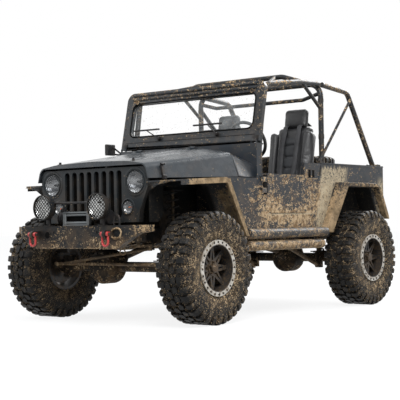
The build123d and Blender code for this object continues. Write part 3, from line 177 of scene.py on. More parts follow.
MUD_PALE: Colour = (0.44, 0.325, 0.20)
MUD_DARK: Colour = (0.19, 0.120, 0.064)
CAKE: Colour = (0.34, 0.240, 0.140)
# Colour of the painted shade under and inside the body
PAINTED_SHADE_DARK: Colour = (0.004, 0.0038, 0.0035)


@dataclass(frozen=True)
class Mud:
    """How much dried mud lies on a finish: a limit on noise, low for a thick cover, at two heights.

    The noise is stretched along the axes, made of a fine and a coarse grain, and cut at a soft edge.
    """

    low_z: float = 0.60
    high_z: float = 1.35
    at_low: float = 0.50
    at_high: float = 0.64
    grain: float = 75.0
    blotch: float = 6.0
    spread: float = 0.22
    film: float = 0.25
    stretch: Point = (0.85, 0.62, 1.0)
    fine_share: float = 0.62
    coarse_scale: float = 0.36
    edge: Flat = (-0.012, 0.018)

    def limit(self, shader: Shader) -> Socket:
        """The noise's limit over the surface, before the patches."""
        return shader.span(shader.split()[2], self.low_z, self.high_z, self.at_low, self.at_high)

    def mask(self, shader: Shader, limit: Socket | None = None) -> Socket:
        """Cover of mud specks and blotches, 0 to 1."""
        patch = shader.times(shader.minus(shader.noise(self.blotch, 3.0), 0.5), self.spread)
        reach = shader.minus(limit or self.limit(shader), patch)
        fine = shader.noise(self.grain, 4.0, 0.68, self.stretch)
        coarse = shader.noise(self.grain * self.coarse_scale, 3.0, 0.6, self.stretch)
        both = shader.plus(shader.times(fine, self.fine_share), shader.times(coarse, 1.0 - self.fine_share))
        return shader.span(shader.minus(both, reach), *self.edge)


CLEAN = Mud(0.0, 0.1, 0.95, 0.95, film=0.0)


@dataclass(frozen=True)
class Weathered:
    """A painted, coated or cast surface with a thin film of dust and specks of dried mud."""

    name: str
    colour: Colour
    roughness: float = 0.42
    metallic: float = 0.0
    coat: float = 0.0
    mud: Mud = Mud()
    texture_scale: float = 240.0
    texture: float = 0.08
    shine: float = 0.20

    def cover(self, shader: Shader) -> Socket:
        """Mask of the mud on this finish."""
        return self.mud.mask(shader)

    def caked(self, shader: Shader) -> tuple[Socket, Socket] | None:
        """Mask and colour of a closed layer of mud, where this finish has one."""
        return None

    def painted_shade(self, shader: Shader) -> Socket | None:
        """Share of painted shade at a place that lies in the dark under the body, where this finish reaches
        there.
        """
        return None

    def build(self) -> bpy.types.Material:
        """Make the material."""
        shader = Shader(self.name)
        mask = self.cover(shader)
        cloud = shader.span(shader.noise(3.2, 4.0, 0.6), 0.35, 0.65, 0.0, 0.35)
        base = shader.mix(cloud, self.colour, scaled(self.colour, 1.5, 0.002))
        film = shader.span(shader.noise(9.0, 5.0, 0.65), 0.40, 0.70, 0.0, self.mud.film)
        low = shader.span(shader.split()[2], self.mud.high_z, self.mud.low_z, 0.2, 1.0)
        base = shader.mix(shader.times(film, low), base, MUD_DARK)
        mud = shader.mix(shader.span(shader.noise(30.0, 4.0), 0.36, 0.62), MUD_DARK, MUD_PALE)
        colour = shader.mix(mask, base, mud)
        layer = self.caked(shader)
        if layer:
            colour = shader.mix(layer[0], colour, layer[1])
            mask = shader.most(mask, layer[0])
        # Painted shade: near-black, and matte like mud, where the underside and inner faces lie in shadow
        painted_shade_share = self.painted_shade(shader)
        if painted_shade_share:
            colour = shader.mix(painted_shade_share, colour, PAINTED_SHADE_DARK)
            mask = shader.most(mask, painted_shade_share)
        shader.set("Base Color", colour)
        gloss = shader.span(shader.noise(14.0, 4.0), 0.35, 0.7, self.roughness - 0.06, self.roughness + 0.12)
        shader.set("Roughness", shader.span(mask, 0.0, 1.0, gloss, 0.92))
        shader.set("Specular IOR Level", shader.span(mask, 0.0, 1.0, self.shine, 0.10))
        shader.set("Metallic", self.metallic)
        if self.coat:
            shader.set("Coat Weight", shader.span(mask, 0.0, 1.0, self.coat, 0.0))
            shader.set("Coat Roughness", 0.16)
        fine = shader.times(shader.noise(self.texture_scale, 2.0), self.texture)
        shader.relief(shader.plus(fine, mask), 0.45, 0.0016)
        return shader.material


@dataclass(frozen=True)
class BodyPaint(Weathered):
    """Body paint: specks that thicken down the sides and round the door, and a pale splash behind it."""

    splash: Colour = (0.43, 0.355, 0.245)
    door: tuple[float, float, float, float] = (0.11, 1.035, 0.40, 0.175)
    shares: tuple[float, ...] = (0.062, 0.008, 0.035, 0.022, 0.038)
    lean: float = 0.22

    def outer(self, shader: Shader) -> Socket:
        """1 on the outer sides, 0 on what faces up, back or in."""
        return shader.span(shader.size(shader.split()[0]), 0.740, 0.768)

    def cover(self, shader: Shader) -> Socket:
        """Specks, thicker on a ring round the door's middle, on the sill, aft and on the door."""
        _, y, z = shader.split()
        middle_y, middle_z, half_y, half_z = self.door
        u = shader.calc("DIVIDE", shader.minus(y, middle_y), half_y)
        v = shader.calc("DIVIDE", shader.minus(z, middle_z), half_z)
        far = shader.calc("SQRT", shader.plus(shader.times(u, u), shader.times(v, v)))
        door = shader.span(far, 1.9, 1.15)
        ring = shader.times(shader.span(far, 0.35, 0.95), door)
        heart = shader.span(far, 0.9, 0.35)
        sill = shader.span(z, 0.90, 0.74)
        aft = shader.span(y, 0.25, 0.75)
        places = zip((ring, heart, sill, aft, door), self.shares)
        extra = shader.plus(*(shader.times(place, share) for place, share in places))
        extra = shader.times(extra, self.outer(shader))
        return self.mud.mask(shader, shader.minus(self.mud.limit(shader), extra))

    def caked(self, shader: Shader) -> tuple[Socket, Socket] | None:
        """The dried splash between door and rear arch, with ragged edges and runs, and a thin pale line under
        the door.
        """
        _, y, z = shader.split()
        streak = shader.noise(1.0, 4.0, 0.62, stretch=(40.0, 34.0, 3.2))
        wobble = shader.times(shader.minus(streak, 0.5), 0.22)
        top = shader.span(shader.plus(z, wobble), 1.300, 1.272)
        slant = shader.minus(y, shader.times(shader.minus(z, 0.72), self.lean))
        rag = shader.plus(slant, shader.times(wobble, 0.4))
        sides = shader.times(shader.span(rag, 0.485, 0.53), shader.span(rag, 1.00, 0.88))
        back = shader.times(shader.span(shader.plus(y, wobble), 1.60, 1.70), shader.span(z, 1.25, 1.12))
        area = shader.most(shader.times(top, sides), back)
        # A thin pale line in the splash's colour just under the door's lower edge, along its shut line
        under = shader.times(shader.span(z, 0.857, 0.861), shader.span(z, 0.873, 0.869))
        ends = shader.times(shader.span(y, -0.27, -0.22), shader.span(y, 0.46, 0.40))
        area = shader.most(area, shader.times(under, ends))
        area = shader.times(area, self.outer(shader))
        holes = shader.span(shader.noise(75.0, 4.0, 0.72, (0.85, 0.62, 0.8), 0.3), 0.415, 0.455)
        thin = shader.span(streak, 0.30, 0.46, 0.55, 1.0)
        cloud = shader.span(shader.noise(20.0, 4.0), 0.36, 0.60)
        return shader.times(area, holes, thin), shader.mix(cloud, scaled(self.splash, 0.72), self.splash)

    def painted_shade(self, shader: Shader) -> Socket | None:
        """Painted shade on the wheel houses, floor and the panels' inner faces."""
        x, y, z = shader.split()
        inner = shader.span(shader.size(x), 0.750, 0.725, 0.0, 0.85)
        level = shader.times(shader.span(z, 1.318, 1.300), shader.span(y, -0.385, -0.370))
        return shader.times(inner, level, shader.span(y, 1.738, 1.728))


@dataclass(frozen=True)
class ArchPaint(Weathered):
    """Fender or flare: a closed layer of mud on its outer lip and low leg, specks on its top, painted shade
    on its inner aprons.
    """

    lip_x: float = 0.845
    leg_y: float = -0.93
    cake: Colour = CAKE
    top: float = 0.85

    def caked(self, shader: Shader) -> tuple[Socket, Socket] | None:
        """Mud along the outer lip, thicker towards the ground and on the leg behind the wheel."""
        x, y, z = shader.split()
        out = shader.size(x)
        lip = shader.times(shader.span(out, self.lip_x - 0.05, self.lip_x),
                           shader.span(y, -1.54, -1.34, 0.45, 1.0))
        leg = shader.times(shader.span(y, self.leg_y, self.leg_y + 0.05), shader.span(z, 1.16, 1.02))
        inner = shader.times(leg, shader.span(out, 0.58, 0.74, 0.15, 0.8))
        base = shader.most(shader.times(lip, shader.span(z, 1.26, 0.80, self.top, 0.95)), inner)
        nose = shader.times(shader.span(y, -1.46, -1.54), shader.span(out, 0.60, 0.74, 0.0, 0.66))
        base = shader.most(base, nose)
        grain = shader.noise(46.0, 5.0, 0.7)
        limit = shader.span(base, 0.0, 1.0, 0.86, 0.36)
        mask = shader.span(shader.minus(grain, limit), -0.03, 0.06)
        cloud = shader.span(shader.noise(11.0, 5.0, 0.65), 0.36, 0.64)
        return mask, shader.mix(cloud, scaled(self.cake, 0.42), self.cake)

    def painted_shade(self, shader: Shader) -> Socket | None:
        """Painted shade on the aprons beside the engine."""
        x, _, z = shader.split()
        inner = shader.span(shader.size(x), 0.66, 0.60)
        return shader.times(inner, shader.span(z, 1.13, 1.08), 0.9)


@dataclass(frozen=True)
class BumperCoat(Weathered):
    """Rough black coating with mud caked on the outer ends and the lower edge."""

    cake: Colour = CAKE

    def caked(self, shader: Shader) -> tuple[Socket, Socket] | None:
        """Mud that closes towards the ends and the lower edge."""
        x, _, z = shader.split()
        ends = shader.span(shader.size(x), 0.38, 0.70, 0.0, 0.68)
        edge = shader.span(z, 0.640, 0.612, 0.0, 0.55)
        grain = shader.noise(60.0, 5.0, 0.72, (0.9, 0.62, 1.0))
        limit = shader.span(shader.most(ends, edge), 0.0, 1.0, 0.72, 0.40)
        mask = shader.span(shader.minus(grain, limit), -0.015, 0.030)
        cloud = shader.span(shader.noise(18.0, 5.0, 0.65), 0.36, 0.64)
        return mask, shader.mix(cloud, scaled(self.cake, 0.5), self.cake)


@dataclass(frozen=True)
class TyreRubber:
    """Black rubber with mud that stays between the lugs and as a haze on the sidewall."""

    name: str = "tyre_rubber"
    colour: Colour = (0.0075, 0.0078, 0.0082)
    floor_r: float = 0.430
    flat: bool = False
    centre: Point = (0.0, AXLE_Y, AXLE_Z)
    haze: Colour = (0.036, 0.032, 0.027)
    mud_dark: Colour = (0.085, 0.058, 0.034)
    mud_pale: Colour = (0.40, 0.29, 0.175)

    def radius(self, shader: Shader) -> Socket:
        """Distance from the axle's line."""
        x, y, z = shader.split()
        if self.flat:
            a, b = x, shader.minus(y, self.centre[1])
        else:
            a = shader.minus(shader.size(y), self.centre[1])
            b = shader.minus(z, self.centre[2])
        total = shader.plus(shader.times(a, a), shader.times(b, b))
        return shader.calc("SQRT", total)

    def build(self) -> bpy.types.Material:
        """Make the material."""
        shader = Shader(self.name)
        r = self.radius(shader)
        speck = shader.noise(105.0, 4.0, 0.72)
        patch = shader.times(shader.minus(shader.noise(9.0, 3.0), 0.5), 0.26)
        limit = shader.span(r, self.floor_r - 0.004, self.floor_r + 0.008, 0.552, 0.618)
        limit = shader.plus(limit, shader.span(r, 0.26, 0.36, -0.045, 0.0))
        over = shader.minus(shader.plus(speck, patch), limit)
        mask = shader.span(over, -0.02, 0.05)
        haze = shader.span(shader.noise(16.0, 4.0), 0.42, 0.75, 0.04, 0.55)
        base = shader.mix(haze, self.colour, self.haze)
        mud = shader.mix(shader.span(shader.noise(26.0, 3.0), 0.38, 0.62), self.mud_dark, self.mud_pale)
        shader.set("Base Color", shader.mix(mask, base, mud))
        shader.set("Roughness", shader.span(mask, 0.0, 1.0, 0.46, 0.95))
        shader.set("Specular IOR Level", shader.span(mask, 0.0, 1.0, 0.12, 0.04))
        shader.relief(shader.plus(shader.times(speck, 0.6), mask), 0.4, 0.002)
        return shader.material


@dataclass(frozen=True)
class WheelMetal:
    """Dark wheel with a pale machined outer ring, dusty with specks of mud."""

    name: str = "wheel_metal"
    dark: Colour = (0.020, 0.020, 0.021)
    pale: Colour = (0.50, 0.475, 0.43)
    dust: Colour = (0.105, 0.072, 0.042)
    worn: Colour = (0.24, 0.20, 0.15)
    speck: Colour = (0.13, 0.085, 0.045)

    def build(self) -> bpy.types.Material:
        """Make the material."""
        shader = Shader(self.name)
        x = shader.split()[0]
        r = TyreRubber().radius(shader)
        out = shader.size(x)
        ring = shader.times(shader.span(r, 0.1835, 0.1865), shader.span(out, 0.949, 0.952))
        speck = shader.span(shader.noise(80.0, 4.0, 0.65), 0.545, 0.59)
        dust = shader.span(shader.noise(12.0, 4.0), 0.38, 0.75, 0.0, 0.42)
        hub = shader.span(r, 0.10, 0.03, 0.0, 0.45)
        dark = shader.mix(shader.calc("ADD", dust, hub, clamp=True), self.dark, self.dust)
        wear = shader.span(shader.noise(24.0, 4.0), 0.40, 0.66, 0.0, 0.8)
        worn = shader.mix(wear, self.pale, self.worn)
        base = shader.mix(ring, dark, worn)
        shader.set("Base Color", shader.mix(shader.times(speck, 0.8), base, self.speck))
        shader.set("Metallic", 0.35)
        shader.set("Roughness", shader.span(speck, 0.0, 1.0, 0.34, 0.85))
        shader.relief(shader.noise(160.0, 2.0), 0.15, 0.0008)
        return shader.material


@dataclass(frozen=True)
class ClearGlass:
    """Thin clear pane or lens, with dust and a few specks of mud on it."""

    name: str
    tint: Colour = (0.86, 0.90, 0.91)
    alpha: float = 0.10
    dirt: float = 0.64
    roughness: float = 0.03

    def build(self) -> bpy.types.Material:
        """Make the material."""
        shader = Shader(self.name)
        speck = shader.span(shader.noise(85.0, 3.0, 0.6), self.dirt, self.dirt + 0.03)
        haze = shader.span(shader.noise(5.0, 4.0), 0.45, 0.75, self.alpha, self.alpha + 0.05)
        shader.set("Base Color", shader.mix(speck, self.tint, MUD_DARK))
        shader.set("Alpha", shader.calc("ADD", haze, shader.times(speck, 0.8), clamp=True))
        shader.set("Roughness", self.roughness)
        shader.set("IOR", 1.45)
        return shader.material


@dataclass(frozen=True)
class Chrome:
    """Bright plated or silvered metal."""

    name: str
    colour: Colour = (0.82, 0.83, 0.84)
    roughness: float = 0.12

    def build(self) -> bpy.types.Material:
        """Make the material."""
        shader = Shader(self.name)
        stain = shader.span(shader.noise(40.0, 4.0), 0.5, 0.72, 0.0, 0.5)
        shader.set("Base Color", shader.mix(stain, self.colour, scaled(self.colour, 0.45)))
        shader.set("Metallic", 1.0)
        dull = self.roughness + 0.16
        shader.set("Roughness", shader.span(shader.noise(22.0, 3.0), 0.3, 0.7, self.roughness, dull))
        return shader.material


@dataclass(frozen=True)
class LampBowl:
    """Silvered bowl with upright flutes. Its colour holds painted light: shade at the top, where the bezel
    would shade it, a dim band across the middle and a bright reflection along the bottom.
    """

    name: str = "lamp_bowl"
    middle_z: float = 1.128
    half: float = 0.085
    # Colour of the painted reflection along the bottom
    bright: Colour = (0.74, 0.75, 0.76)
    # Colour of the painted shade at the top
    dull: Colour = (0.045, 0.048, 0.052)

    def build(self) -> bpy.types.Material:
        """Make the material."""
        shader = Shader(self.name)
        x, _, z = shader.split()
        level = shader.plus(z, shader.times(shader.minus(shader.noise(16.0, 3.0), 0.5), 0.05))
        # Painted light by height: reflection at the bottom, a dim middle band, shade at the top
        painted_glint, upper, lower = (
            shader.span(level, self.middle_z + self.half * start, self.middle_z + self.half * end)
            for start, end in ((-0.55, -0.80), (0.75, 0.1), (-0.35, -0.05))
        )
        share = shader.most(painted_glint, shader.times(upper, lower, 0.22))
        shader.set("Base Color", shader.mix(share, self.dull, self.bright))
        shader.set("Metallic", 0.8)
        shader.set("Roughness", 0.14)
        flute = shader.size(shader.calc("SINE", shader.times(x, 420.0)))
        shader.relief(flute, 0.35, 0.0015)
        return shader.material


@dataclass(frozen=True)
class Vinyl:
    """Black seat cover with a fine leather grain, or woven cloth in its middle panels."""

    name: str
    colour: Colour
    roughness: float = 0.45
    weave: bool = False

    def build(self) -> bpy.types.Material:
        """Make the material."""
        shader = Shader(self.name)
        if self.weave:
            rows = shader.add("ShaderNodeTexWave", wave_type="BANDS", bands_direction="Z")
            shader.tree.links.new(shader.place, rows.inputs["Vector"])
            rows.inputs["Scale"].default_value = 95.0
            height = shader.plus(rows.outputs["Fac"], shader.noise(420.0, 2.0))
        else:
            grain = shader.add("ShaderNodeTexVoronoi", feature="DISTANCE_TO_EDGE")
            shader.tree.links.new(shader.place, grain.inputs["Vector"])
            grain.inputs["Scale"].default_value = 190.0
            height = shader.span(grain.outputs["Distance"], 0.0, 0.25)
        worn = shader.span(shader.noise(8.0, 4.0), 0.4, 0.7, 0.0, 0.5)
        shader.set("Base Color", shader.mix(worn, self.colour, scaled(self.colour, 1.8, 0.008)))
        limits = self.roughness - 0.08, self.roughness + 0.12
        shader.set("Roughness", shader.span(shader.noise(18.0, 3.0), 0.3, 0.7, *limits))
        shader.relief(height, 0.3, 0.0012)
        return shader.material


class Finish(Enum):
    """Every finish on the vehicle."""

    BODY = BodyPaint("body_paint", (0.015, 0.019, 0.024), 0.36, coat=0.10,
                     mud=Mud(0.70, 1.30, 0.545, 0.625, grain=95.0, film=0.35))
    HOOD = Weathered("hood_paint", (0.019, 0.024, 0.029), 0.27, coat=0.4, shine=0.35,
                     mud=Mud(1.10, 1.40, 0.640, 0.675, grain=80.0, spread=0.18, film=0.10))
    UPPER = Weathered("upper_paint", (0.012, 0.015, 0.018), 0.40, coat=0.15,
                      mud=Mud(1.40, 2.05, 0.610, 0.555, grain=85.0, spread=0.16, film=0.15))
    NOSE = Weathered("nose_paint", (0.011, 0.014, 0.016), 0.40, coat=0.15,
                     mud=Mud(0.80, 1.25, 0.60, 0.665, grain=80.0, spread=0.18, film=0.2))
    FENDER = ArchPaint("fender_paint", (0.014, 0.017, 0.020), 0.42, coat=0.1,
                       mud=Mud(0.65, 1.18, 0.545, 0.61, grain=90.0, film=0.4))
    FLARE = ArchPaint("flare_plastic", (0.016, 0.016, 0.016), 0.6, lip_x=0.80, leg_y=9.0, top=0.52,
                      mud=Mud(0.70, 1.2, 0.49, 0.56, grain=70.0, film=0.5))
    BUMPER = BumperCoat("bumper_coat", (0.008, 0.009, 0.010), 0.5,
                        mud=Mud(0.60, 0.80, 0.555, 0.605, grain=90.0, blotch=4.0, spread=0.34, film=0.5))
    GUARD = Weathered("guard_coat", (0.020, 0.024, 0.028), 0.40,
                      mud=Mud(0.56, 0.745, 0.47, 0.550, grain=90.0, film=0.6))
    CHASSIS = Weathered("chassis_coat", (0.007, 0.007, 0.007), 0.7,
                        mud=Mud(0.40, 1.0, 0.56, 0.66, grain=60.0, film=0.5))
    AXLE = Weathered("axle_casting", (0.012, 0.010, 0.008), 0.75,
                     mud=Mud(0.25, 0.60, 0.53, 0.59, grain=55.0, film=0.8))
    LINKS = Weathered("link_rods", (0.075, 0.055, 0.036), 0.6, 0.2,
                      mud=Mud(0.35, 0.7, 0.52, 0.57, grain=55.0, film=0.8))
    CAGE = Weathered("cage_coat", (0.011, 0.013, 0.015), 0.40, coat=0.15,
                     mud=Mud(1.30, 2.1, 0.595, 0.560, grain=80.0, spread=0.34, film=0.25))
    PLAIN = Weathered("black_plastic", (0.010, 0.010, 0.011), 0.45, mud=Mud(0.5, 2.0, 0.655, 0.68, film=0.15))
    # Near-black and matte: black parts, and painted shade behind the grille, in the fairlead's opening, the
    # bumper's holes and the doors' front gaps
    SHADE = Weathered("black_shade", (0.004, 0.004, 0.004), 0.8, shine=0.05,
                      mud=Mud(0.5, 2.0, 0.67, 0.69, film=0.05))
    ENGINE = Weathered("engine_metal", (0.022, 0.021, 0.020), 0.7, mud=Mud(0.5, 1.1, 0.56, 0.64, film=0.5))
    EXHAUST = Weathered("exhaust_pipe", (0.12, 0.09, 0.065), 0.55, 0.5,
                        mud=Mud(0.6, 0.9, 0.52, 0.58, film=0.7))
    FAIRLEAD = Weathered("fairlead_steel", (0.125, 0.135, 0.14), 0.34, 0.6,
                         mud=Mud(0.7, 1.0, 0.64, 0.67, film=0.2))
    RED = Weathered("red_enamel", (0.36, 0.028, 0.028), 0.33, coat=0.4,
                    mud=Mud(0.55, 0.8, 0.585, 0.64, film=0.25))
    ROPE = Vinyl("winch_rope", (0.10, 0.095, 0.085), 0.8, True)
    TYRE = TyreRubber()
    SPARE = TyreRubber("spare_rubber", flat=True, centre=(0.0, 1.27, 1.28))
    WHEEL = WheelMetal()
    GLASS = ClearGlass("clear_pane", dirt=0.66, alpha=0.03)
    LENS = ClearGlass("lamp_lens", (0.92, 0.94, 0.96), 0.05, 0.68)
    SPOT_BOWL = Chrome("spot_bowl", (0.80, 0.81, 0.80), 0.22)
    HEAD_BOWL = LampBowl()
    TURN_BOWL = LampBowl("turn_bowl", 0.931, 0.05, (0.40, 0.41, 0.42), (0.10, 0.10, 0.10))
    BOLT = Weathered("bolt_steel", (0.030, 0.028, 0.026), 0.45, 0.6,
                     mud=Mud(0.2, 2.2, 0.60, 0.64, film=0.4))
    CAKED = Weathered("caked_steel", (0.09, 0.06, 0.035), 0.8, mud=Mud(0.2, 2.2, 0.46, 0.5, film=0.8))
    AMBER = Weathered("amber_bulb", (0.75, 0.16, 0.02), 0.3, mud=CLEAN)
    TAIL = Weathered("tail_lens", (0.33, 0.012, 0.014), 0.2, coat=0.6,
                     mud=Mud(0.9, 1.2, 0.58, 0.64, film=0.3))
    DIAL = Weathered("dial_face", (0.006, 0.006, 0.006), 0.3, mud=CLEAN)
    PRINT = Weathered("dial_marks", (0.62, 0.62, 0.60), 0.5, mud=CLEAN)
    SEAT = Vinyl("seat_vinyl", (0.008, 0.008, 0.009), 0.40)
    CLOTH = Vinyl("seat_cloth", (0.017, 0.018, 0.020), 0.8, True)
    GRIP = Vinyl("wheel_grip", (0.010, 0.010, 0.010), 0.45)
    BELT = Vinyl("belt_webbing", (0.022, 0.022, 0.024), 0.75, True)

    def material(self) -> bpy.types.Material:
        """The Blender material, made on first use."""
        return bpy.data.materials.get("finish_" + self.value.name) or self.value.build()


# CAD nodes that are shown as they are, by finish
NODES_BY_FINISH: dict[Finish, tuple[str, ...]] = {
    Finish.CHASSIS: ("chassis_frame", "steering_box", "fuel_tank"),
    Finish.AXLE: ("front_axle", "rear_axle", "knuckle_left", "knuckle_right"),
    Finish.LINKS: ("steering_links", "pitman_arm"),
    Finish.ENGINE: ("powertrain",),
    Finish.EXHAUST: ("exhaust",),
    Finish.SHADE: ("radiator",),
    Finish.RED: ("shackles",),
    Finish.GLASS: ("windscreen_glass",),
    Finish.PLAIN: ("wipers", "mirror"),
    Finish.CAGE: ("cage_hoop", "cage_side_tubes", "cage_roof_tubes", "cage_rear_braces"),
    Finish.GRIP: ("steering_wheel",),
    Finish.WHEEL: ("rim_front_left", "rim_front_right", "rim_rear_left", "rim_rear_right"),
}


@dataclass(frozen=True)
class Panel:
    """A CAD node shown by a copy with softened edges."""

    node: str
    finish: Finish
    body: str
    slot: str
    edge: float = 0.0025
    smooth: float = 28.0


PANELS: tuple[Panel, ...] = (
    Panel("tub", Finish.BODY, "root", "body_paint", 0.003, 52.0),
    Panel("door_left", Finish.BODY, "door_left", "body_paint"),
    Panel("door_right", Finish.BODY, "door_right", "body_paint"),
    Panel("tailgate", Finish.BODY, "tailgate", "body_paint"),
    Panel("hood", Finish.HOOD, "hood", "body_paint", 0.003, 62.0),
    Panel("grille", Finish.NOSE, "root", "frame_black"),
    Panel("front_fenders", Finish.FENDER, "root", "body_paint", 0.004),
    Panel("rear_flares", Finish.FLARE, "root", "flare_tan", 0.006),
    Panel("rocker_guards", Finish.GUARD, "root", "bumper_black"),
    Panel("front_bumper", Finish.BUMPER, "root", "bumper_black", 0.003),
    Panel("rear_bumper", Finish.BUMPER, "root", "bumper_black", 0.004),
    Panel("windscreen_frame", Finish.UPPER, "windscreen", "body_paint", 0.003),
    Panel("dashboard", Finish.PLAIN, "root", "dash_grey", 0.004),
    Panel("tail_lamps", Finish.TAIL, "root", "tail_red", 0.004),
)


# Mesh building


def rod(mesh: bmesh.types.BMesh, start: Point, end: Point, radius: float, sides: int = 16,
        tip: float | None = None) -> list[bmesh.types.BMVert]:
    """Add a closed round bar or cone between two points.

    Args:
        mesh: Mesh that receives the bar.
        start: Centre of the first end.
        end: Centre of the other end.
        radius: Radius at the first end.
        sides: Faces round it.
        tip: Radius at the other end, when it differs.

    Returns:
        The new vertices.
    """
    a, b = Vector(start), Vector(end)
    turn = (b - a).to_track_quat("Z", "Y").to_matrix().to_4x4()
    place = Matrix.Translation((a + b) / 2) @ turn
    made = bmesh.ops.create_cone(mesh, cap_ends=True, segments=sides, radius1=radius,
                                 radius2=radius if tip is None else tip, depth=(b - a).length, matrix=place)
    return made["verts"]


def chamfer(mesh: bmesh.types.BMesh, edges: Sequence[bmesh.types.BMEdge], width: float, steps: int) -> None:
    """Bevel some edges of a mesh."""
    bmesh.ops.bevel(mesh, geom=edges, offset=width, affect="EDGES", segments=steps, profile=0.5, material=-1)


def block(mesh: bmesh.types.BMesh, low: Point, high: Point, bevel: float = 0.0) -> None:
    """Add a block between two corners, its edges bevelled when asked."""
    size = [h - l for l, h in zip(low, high)]
    middle = [(h + l) / 2 for l, h in zip(low, high)]
    place = Matrix.Translation(middle) @ Matrix.Diagonal((*size, 1.0))
    verts = bmesh.ops.create_cube(mesh, size=1.0, matrix=place)["verts"]
    if bevel:
        chamfer(mesh, list({e for v in verts for e in v.link_edges}), bevel, 2)


def bars(low: Flat, high: Flat, wide: float) -> list[tuple[Flat, Flat]]:
    """Four bars that frame a flat rectangle, each as its low and high corner."""
    (a0, b0), (a1, b1) = low, high
    return [((a0, b0), (a1, b0 + wide)), ((a0, b1 - wide), (a1, b1)),
            ((a0, b0), (a0 + wide, b1)), ((a1 - wide, b0), (a1, b1))]


def side_block(mesh: bmesh.types.BMesh, side: int, xs: Flat, low: Flat, high: Flat, bevel: float) -> None:
    """Add a block on one side of the vehicle, between two depths and two corners in (y, z)."""
    near, far = sorted(side * x for x in xs)
    block(mesh, (near, *low), (far, *high), bevel)


def spin(mesh: bmesh.types.BMesh, profile: Sequence[Flat], steps: int, closed: bool = True) -> None:
    """Turn a profile of (x, radius) points about the X axis."""
    verts = [mesh.verts.new((x, 0.0, r)) for x, r in profile]
    pairs = list(zip(verts, verts[1:])) + ([(verts[-1], verts[0])] if closed else [])
    edges = [mesh.edges.new(pair) for pair in pairs]
    bmesh.ops.spin(mesh, geom=verts + edges, cent=(0, 0, 0), axis=(1, 0, 0), angle=2 * pi, steps=steps,
                   use_merge=True)


def prism(mesh: bmesh.types.BMesh, points: Iterable[Point], depth: Point) -> list[bmesh.types.BMVert]:
    """Add a solid by extruding a flat outline."""
    face = mesh.faces.new([mesh.verts.new(p) for p in points])
    made = bmesh.ops.extrude_face_region(mesh, geom=[face])
    moved = [g for g in made["geom"] if isinstance(g, bmesh.types.BMVert)]
    bmesh.ops.translate(mesh, verts=moved, vec=depth)
    return list(face.verts) + moved


def around(mesh: bmesh.types.BMesh, verts: Iterable[bmesh.types.BMVert], count: int) -> None:
    """Repeat connected geometry round the X axis."""
    seed = list(dict.fromkeys(verts))
    faces = list({f for v in seed for f in v.link_faces})
    edges = list({e for v in seed for e in v.link_edges})
    for i in range(1, count):
        copy = bmesh.ops.duplicate(mesh, geom=seed + edges + faces)
        moved = [g for g in copy["geom"] if isinstance(g, bmesh.types.BMVert)]
        turn = Matrix.Rotation(2 * pi * i / count, 3, "X")
        bmesh.ops.rotate(mesh, verts=moved, cent=(0, 0, 0), matrix=turn)


def absorb(whole: bmesh.types.BMesh, part: bmesh.types.BMesh) -> None:
    """Move all of one mesh's geometry into another, and free it."""
    data = bpy.data.meshes.new("part")
    part.to_mesh(data)
    part.free()
    whole.from_mesh(data)
    bpy.data.meshes.remove(data)


def side_name(side: int) -> str:
    """The word for a side, from its sign on X."""
    return "left" if side > 0 else "right"


def shown(name: str, data: bpy.types.ID) -> bpy.types.Object:
    """A new object of some data, linked into the scene."""
    piece = bpy.data.objects.new(name, data)
    bpy.context.scene.collection.objects.link(piece)
    return piece


def publish(name: str, mesh: bmesh.types.BMesh, finish: Finish, body: str,
            replaces: Sequence[str] = (), smooth: float = 35.0,
            place: Matrix | None = None) -> bpy.types.Object:
    """Turn a mesh into a piece that rides on a body.

    Args:
        name: Name of the piece.
        mesh: Its geometry, freed here.
        finish: Its finish.
        body: CAD body that it rides on.
        replaces: CAD nodes that it stands for.
        smooth: Edges sharper than this angle stay sharp, in degrees.
        place: Where to put the geometry, when it was built about the origin.

    Returns:
        The new object.
    """
    if place is not None:
        bmesh.ops.transform(mesh, matrix=place, verts=mesh.verts)
    bmesh.ops.remove_doubles(mesh, verts=mesh.verts, dist=WELD)
    bmesh.ops.recalc_face_normals(mesh, faces=mesh.faces)
    data = bpy.data.meshes.new(name)
    mesh.to_mesh(data)
    mesh.free()
    data.shade_smooth()
    data.set_sharp_from_angle(angle=radians(smooth))
    data.materials.append(finish.material())
    piece = shown(name, data)
    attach(piece, body)
    if replaces:
        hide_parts(*replaces)
    log.info("%s on %s: %d faces", name, body, len(data.polygons))
    return piece


def soften(piece: bpy.types.Object, width: float, least_turn: float) -> None:
    """Round a piece's sharp edges as it is drawn."""
    edge = piece.modifiers.new("edges", "BEVEL")
    edge.width = width
    edge.segments = 2
    edge.limit_method = "ANGLE"
    edge.angle_limit = radians(least_turn)
    edge.use_clamp_overlap = True
    edge.harden_normals = False


def curve_piece(name: str, routes: Sequence[Sequence[Point]], radius: float, finish: Finish, body: str,
                closed: bool = False) -> None:
    """Add smooth wire or tube along one or more routes."""
    data = bpy.data.curves.new(name, "CURVE")
    data.dimensions = "3D"
    data.bevel_depth = radius
    data.bevel_resolution = 2
    data.use_fill_caps = True
    for route in routes:
        spline = data.splines.new("POLY")
        spline.points.add(len(route) - 1)
        for point, place in zip(spline.points, route):
            point.co = (*place, 1.0)
        spline.use_cyclic_u = closed
    data.materials.append(finish.material())
    piece = shown(name, data)
    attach(piece, body)


@dataclass(frozen=True)
class Corner:
    """One wheel's place: its name, side and axle."""

    name: str
    side: int
    y: float

    @property
    def body(self) -> str:
        """CAD body that turns with the wheel."""
        return "wheel_" + self.name

    def place(self) -> Matrix:
        """Puts a wheel built about the X axis at its hub, facing outward."""
        turn = Matrix.Identity(4) if self.side > 0 else Matrix.Rotation(pi, 4, "Z")
        return Matrix.Translation((self.side * WHEEL_X, self.y, AXLE_Z)) @ turn


CORNERS = (Corner("front_left", 1, -AXLE_Y), Corner("front_right", -1, -AXLE_Y),
           Corner("rear_left", 1, AXLE_Y), Corner("rear_right", -1, AXLE_Y))


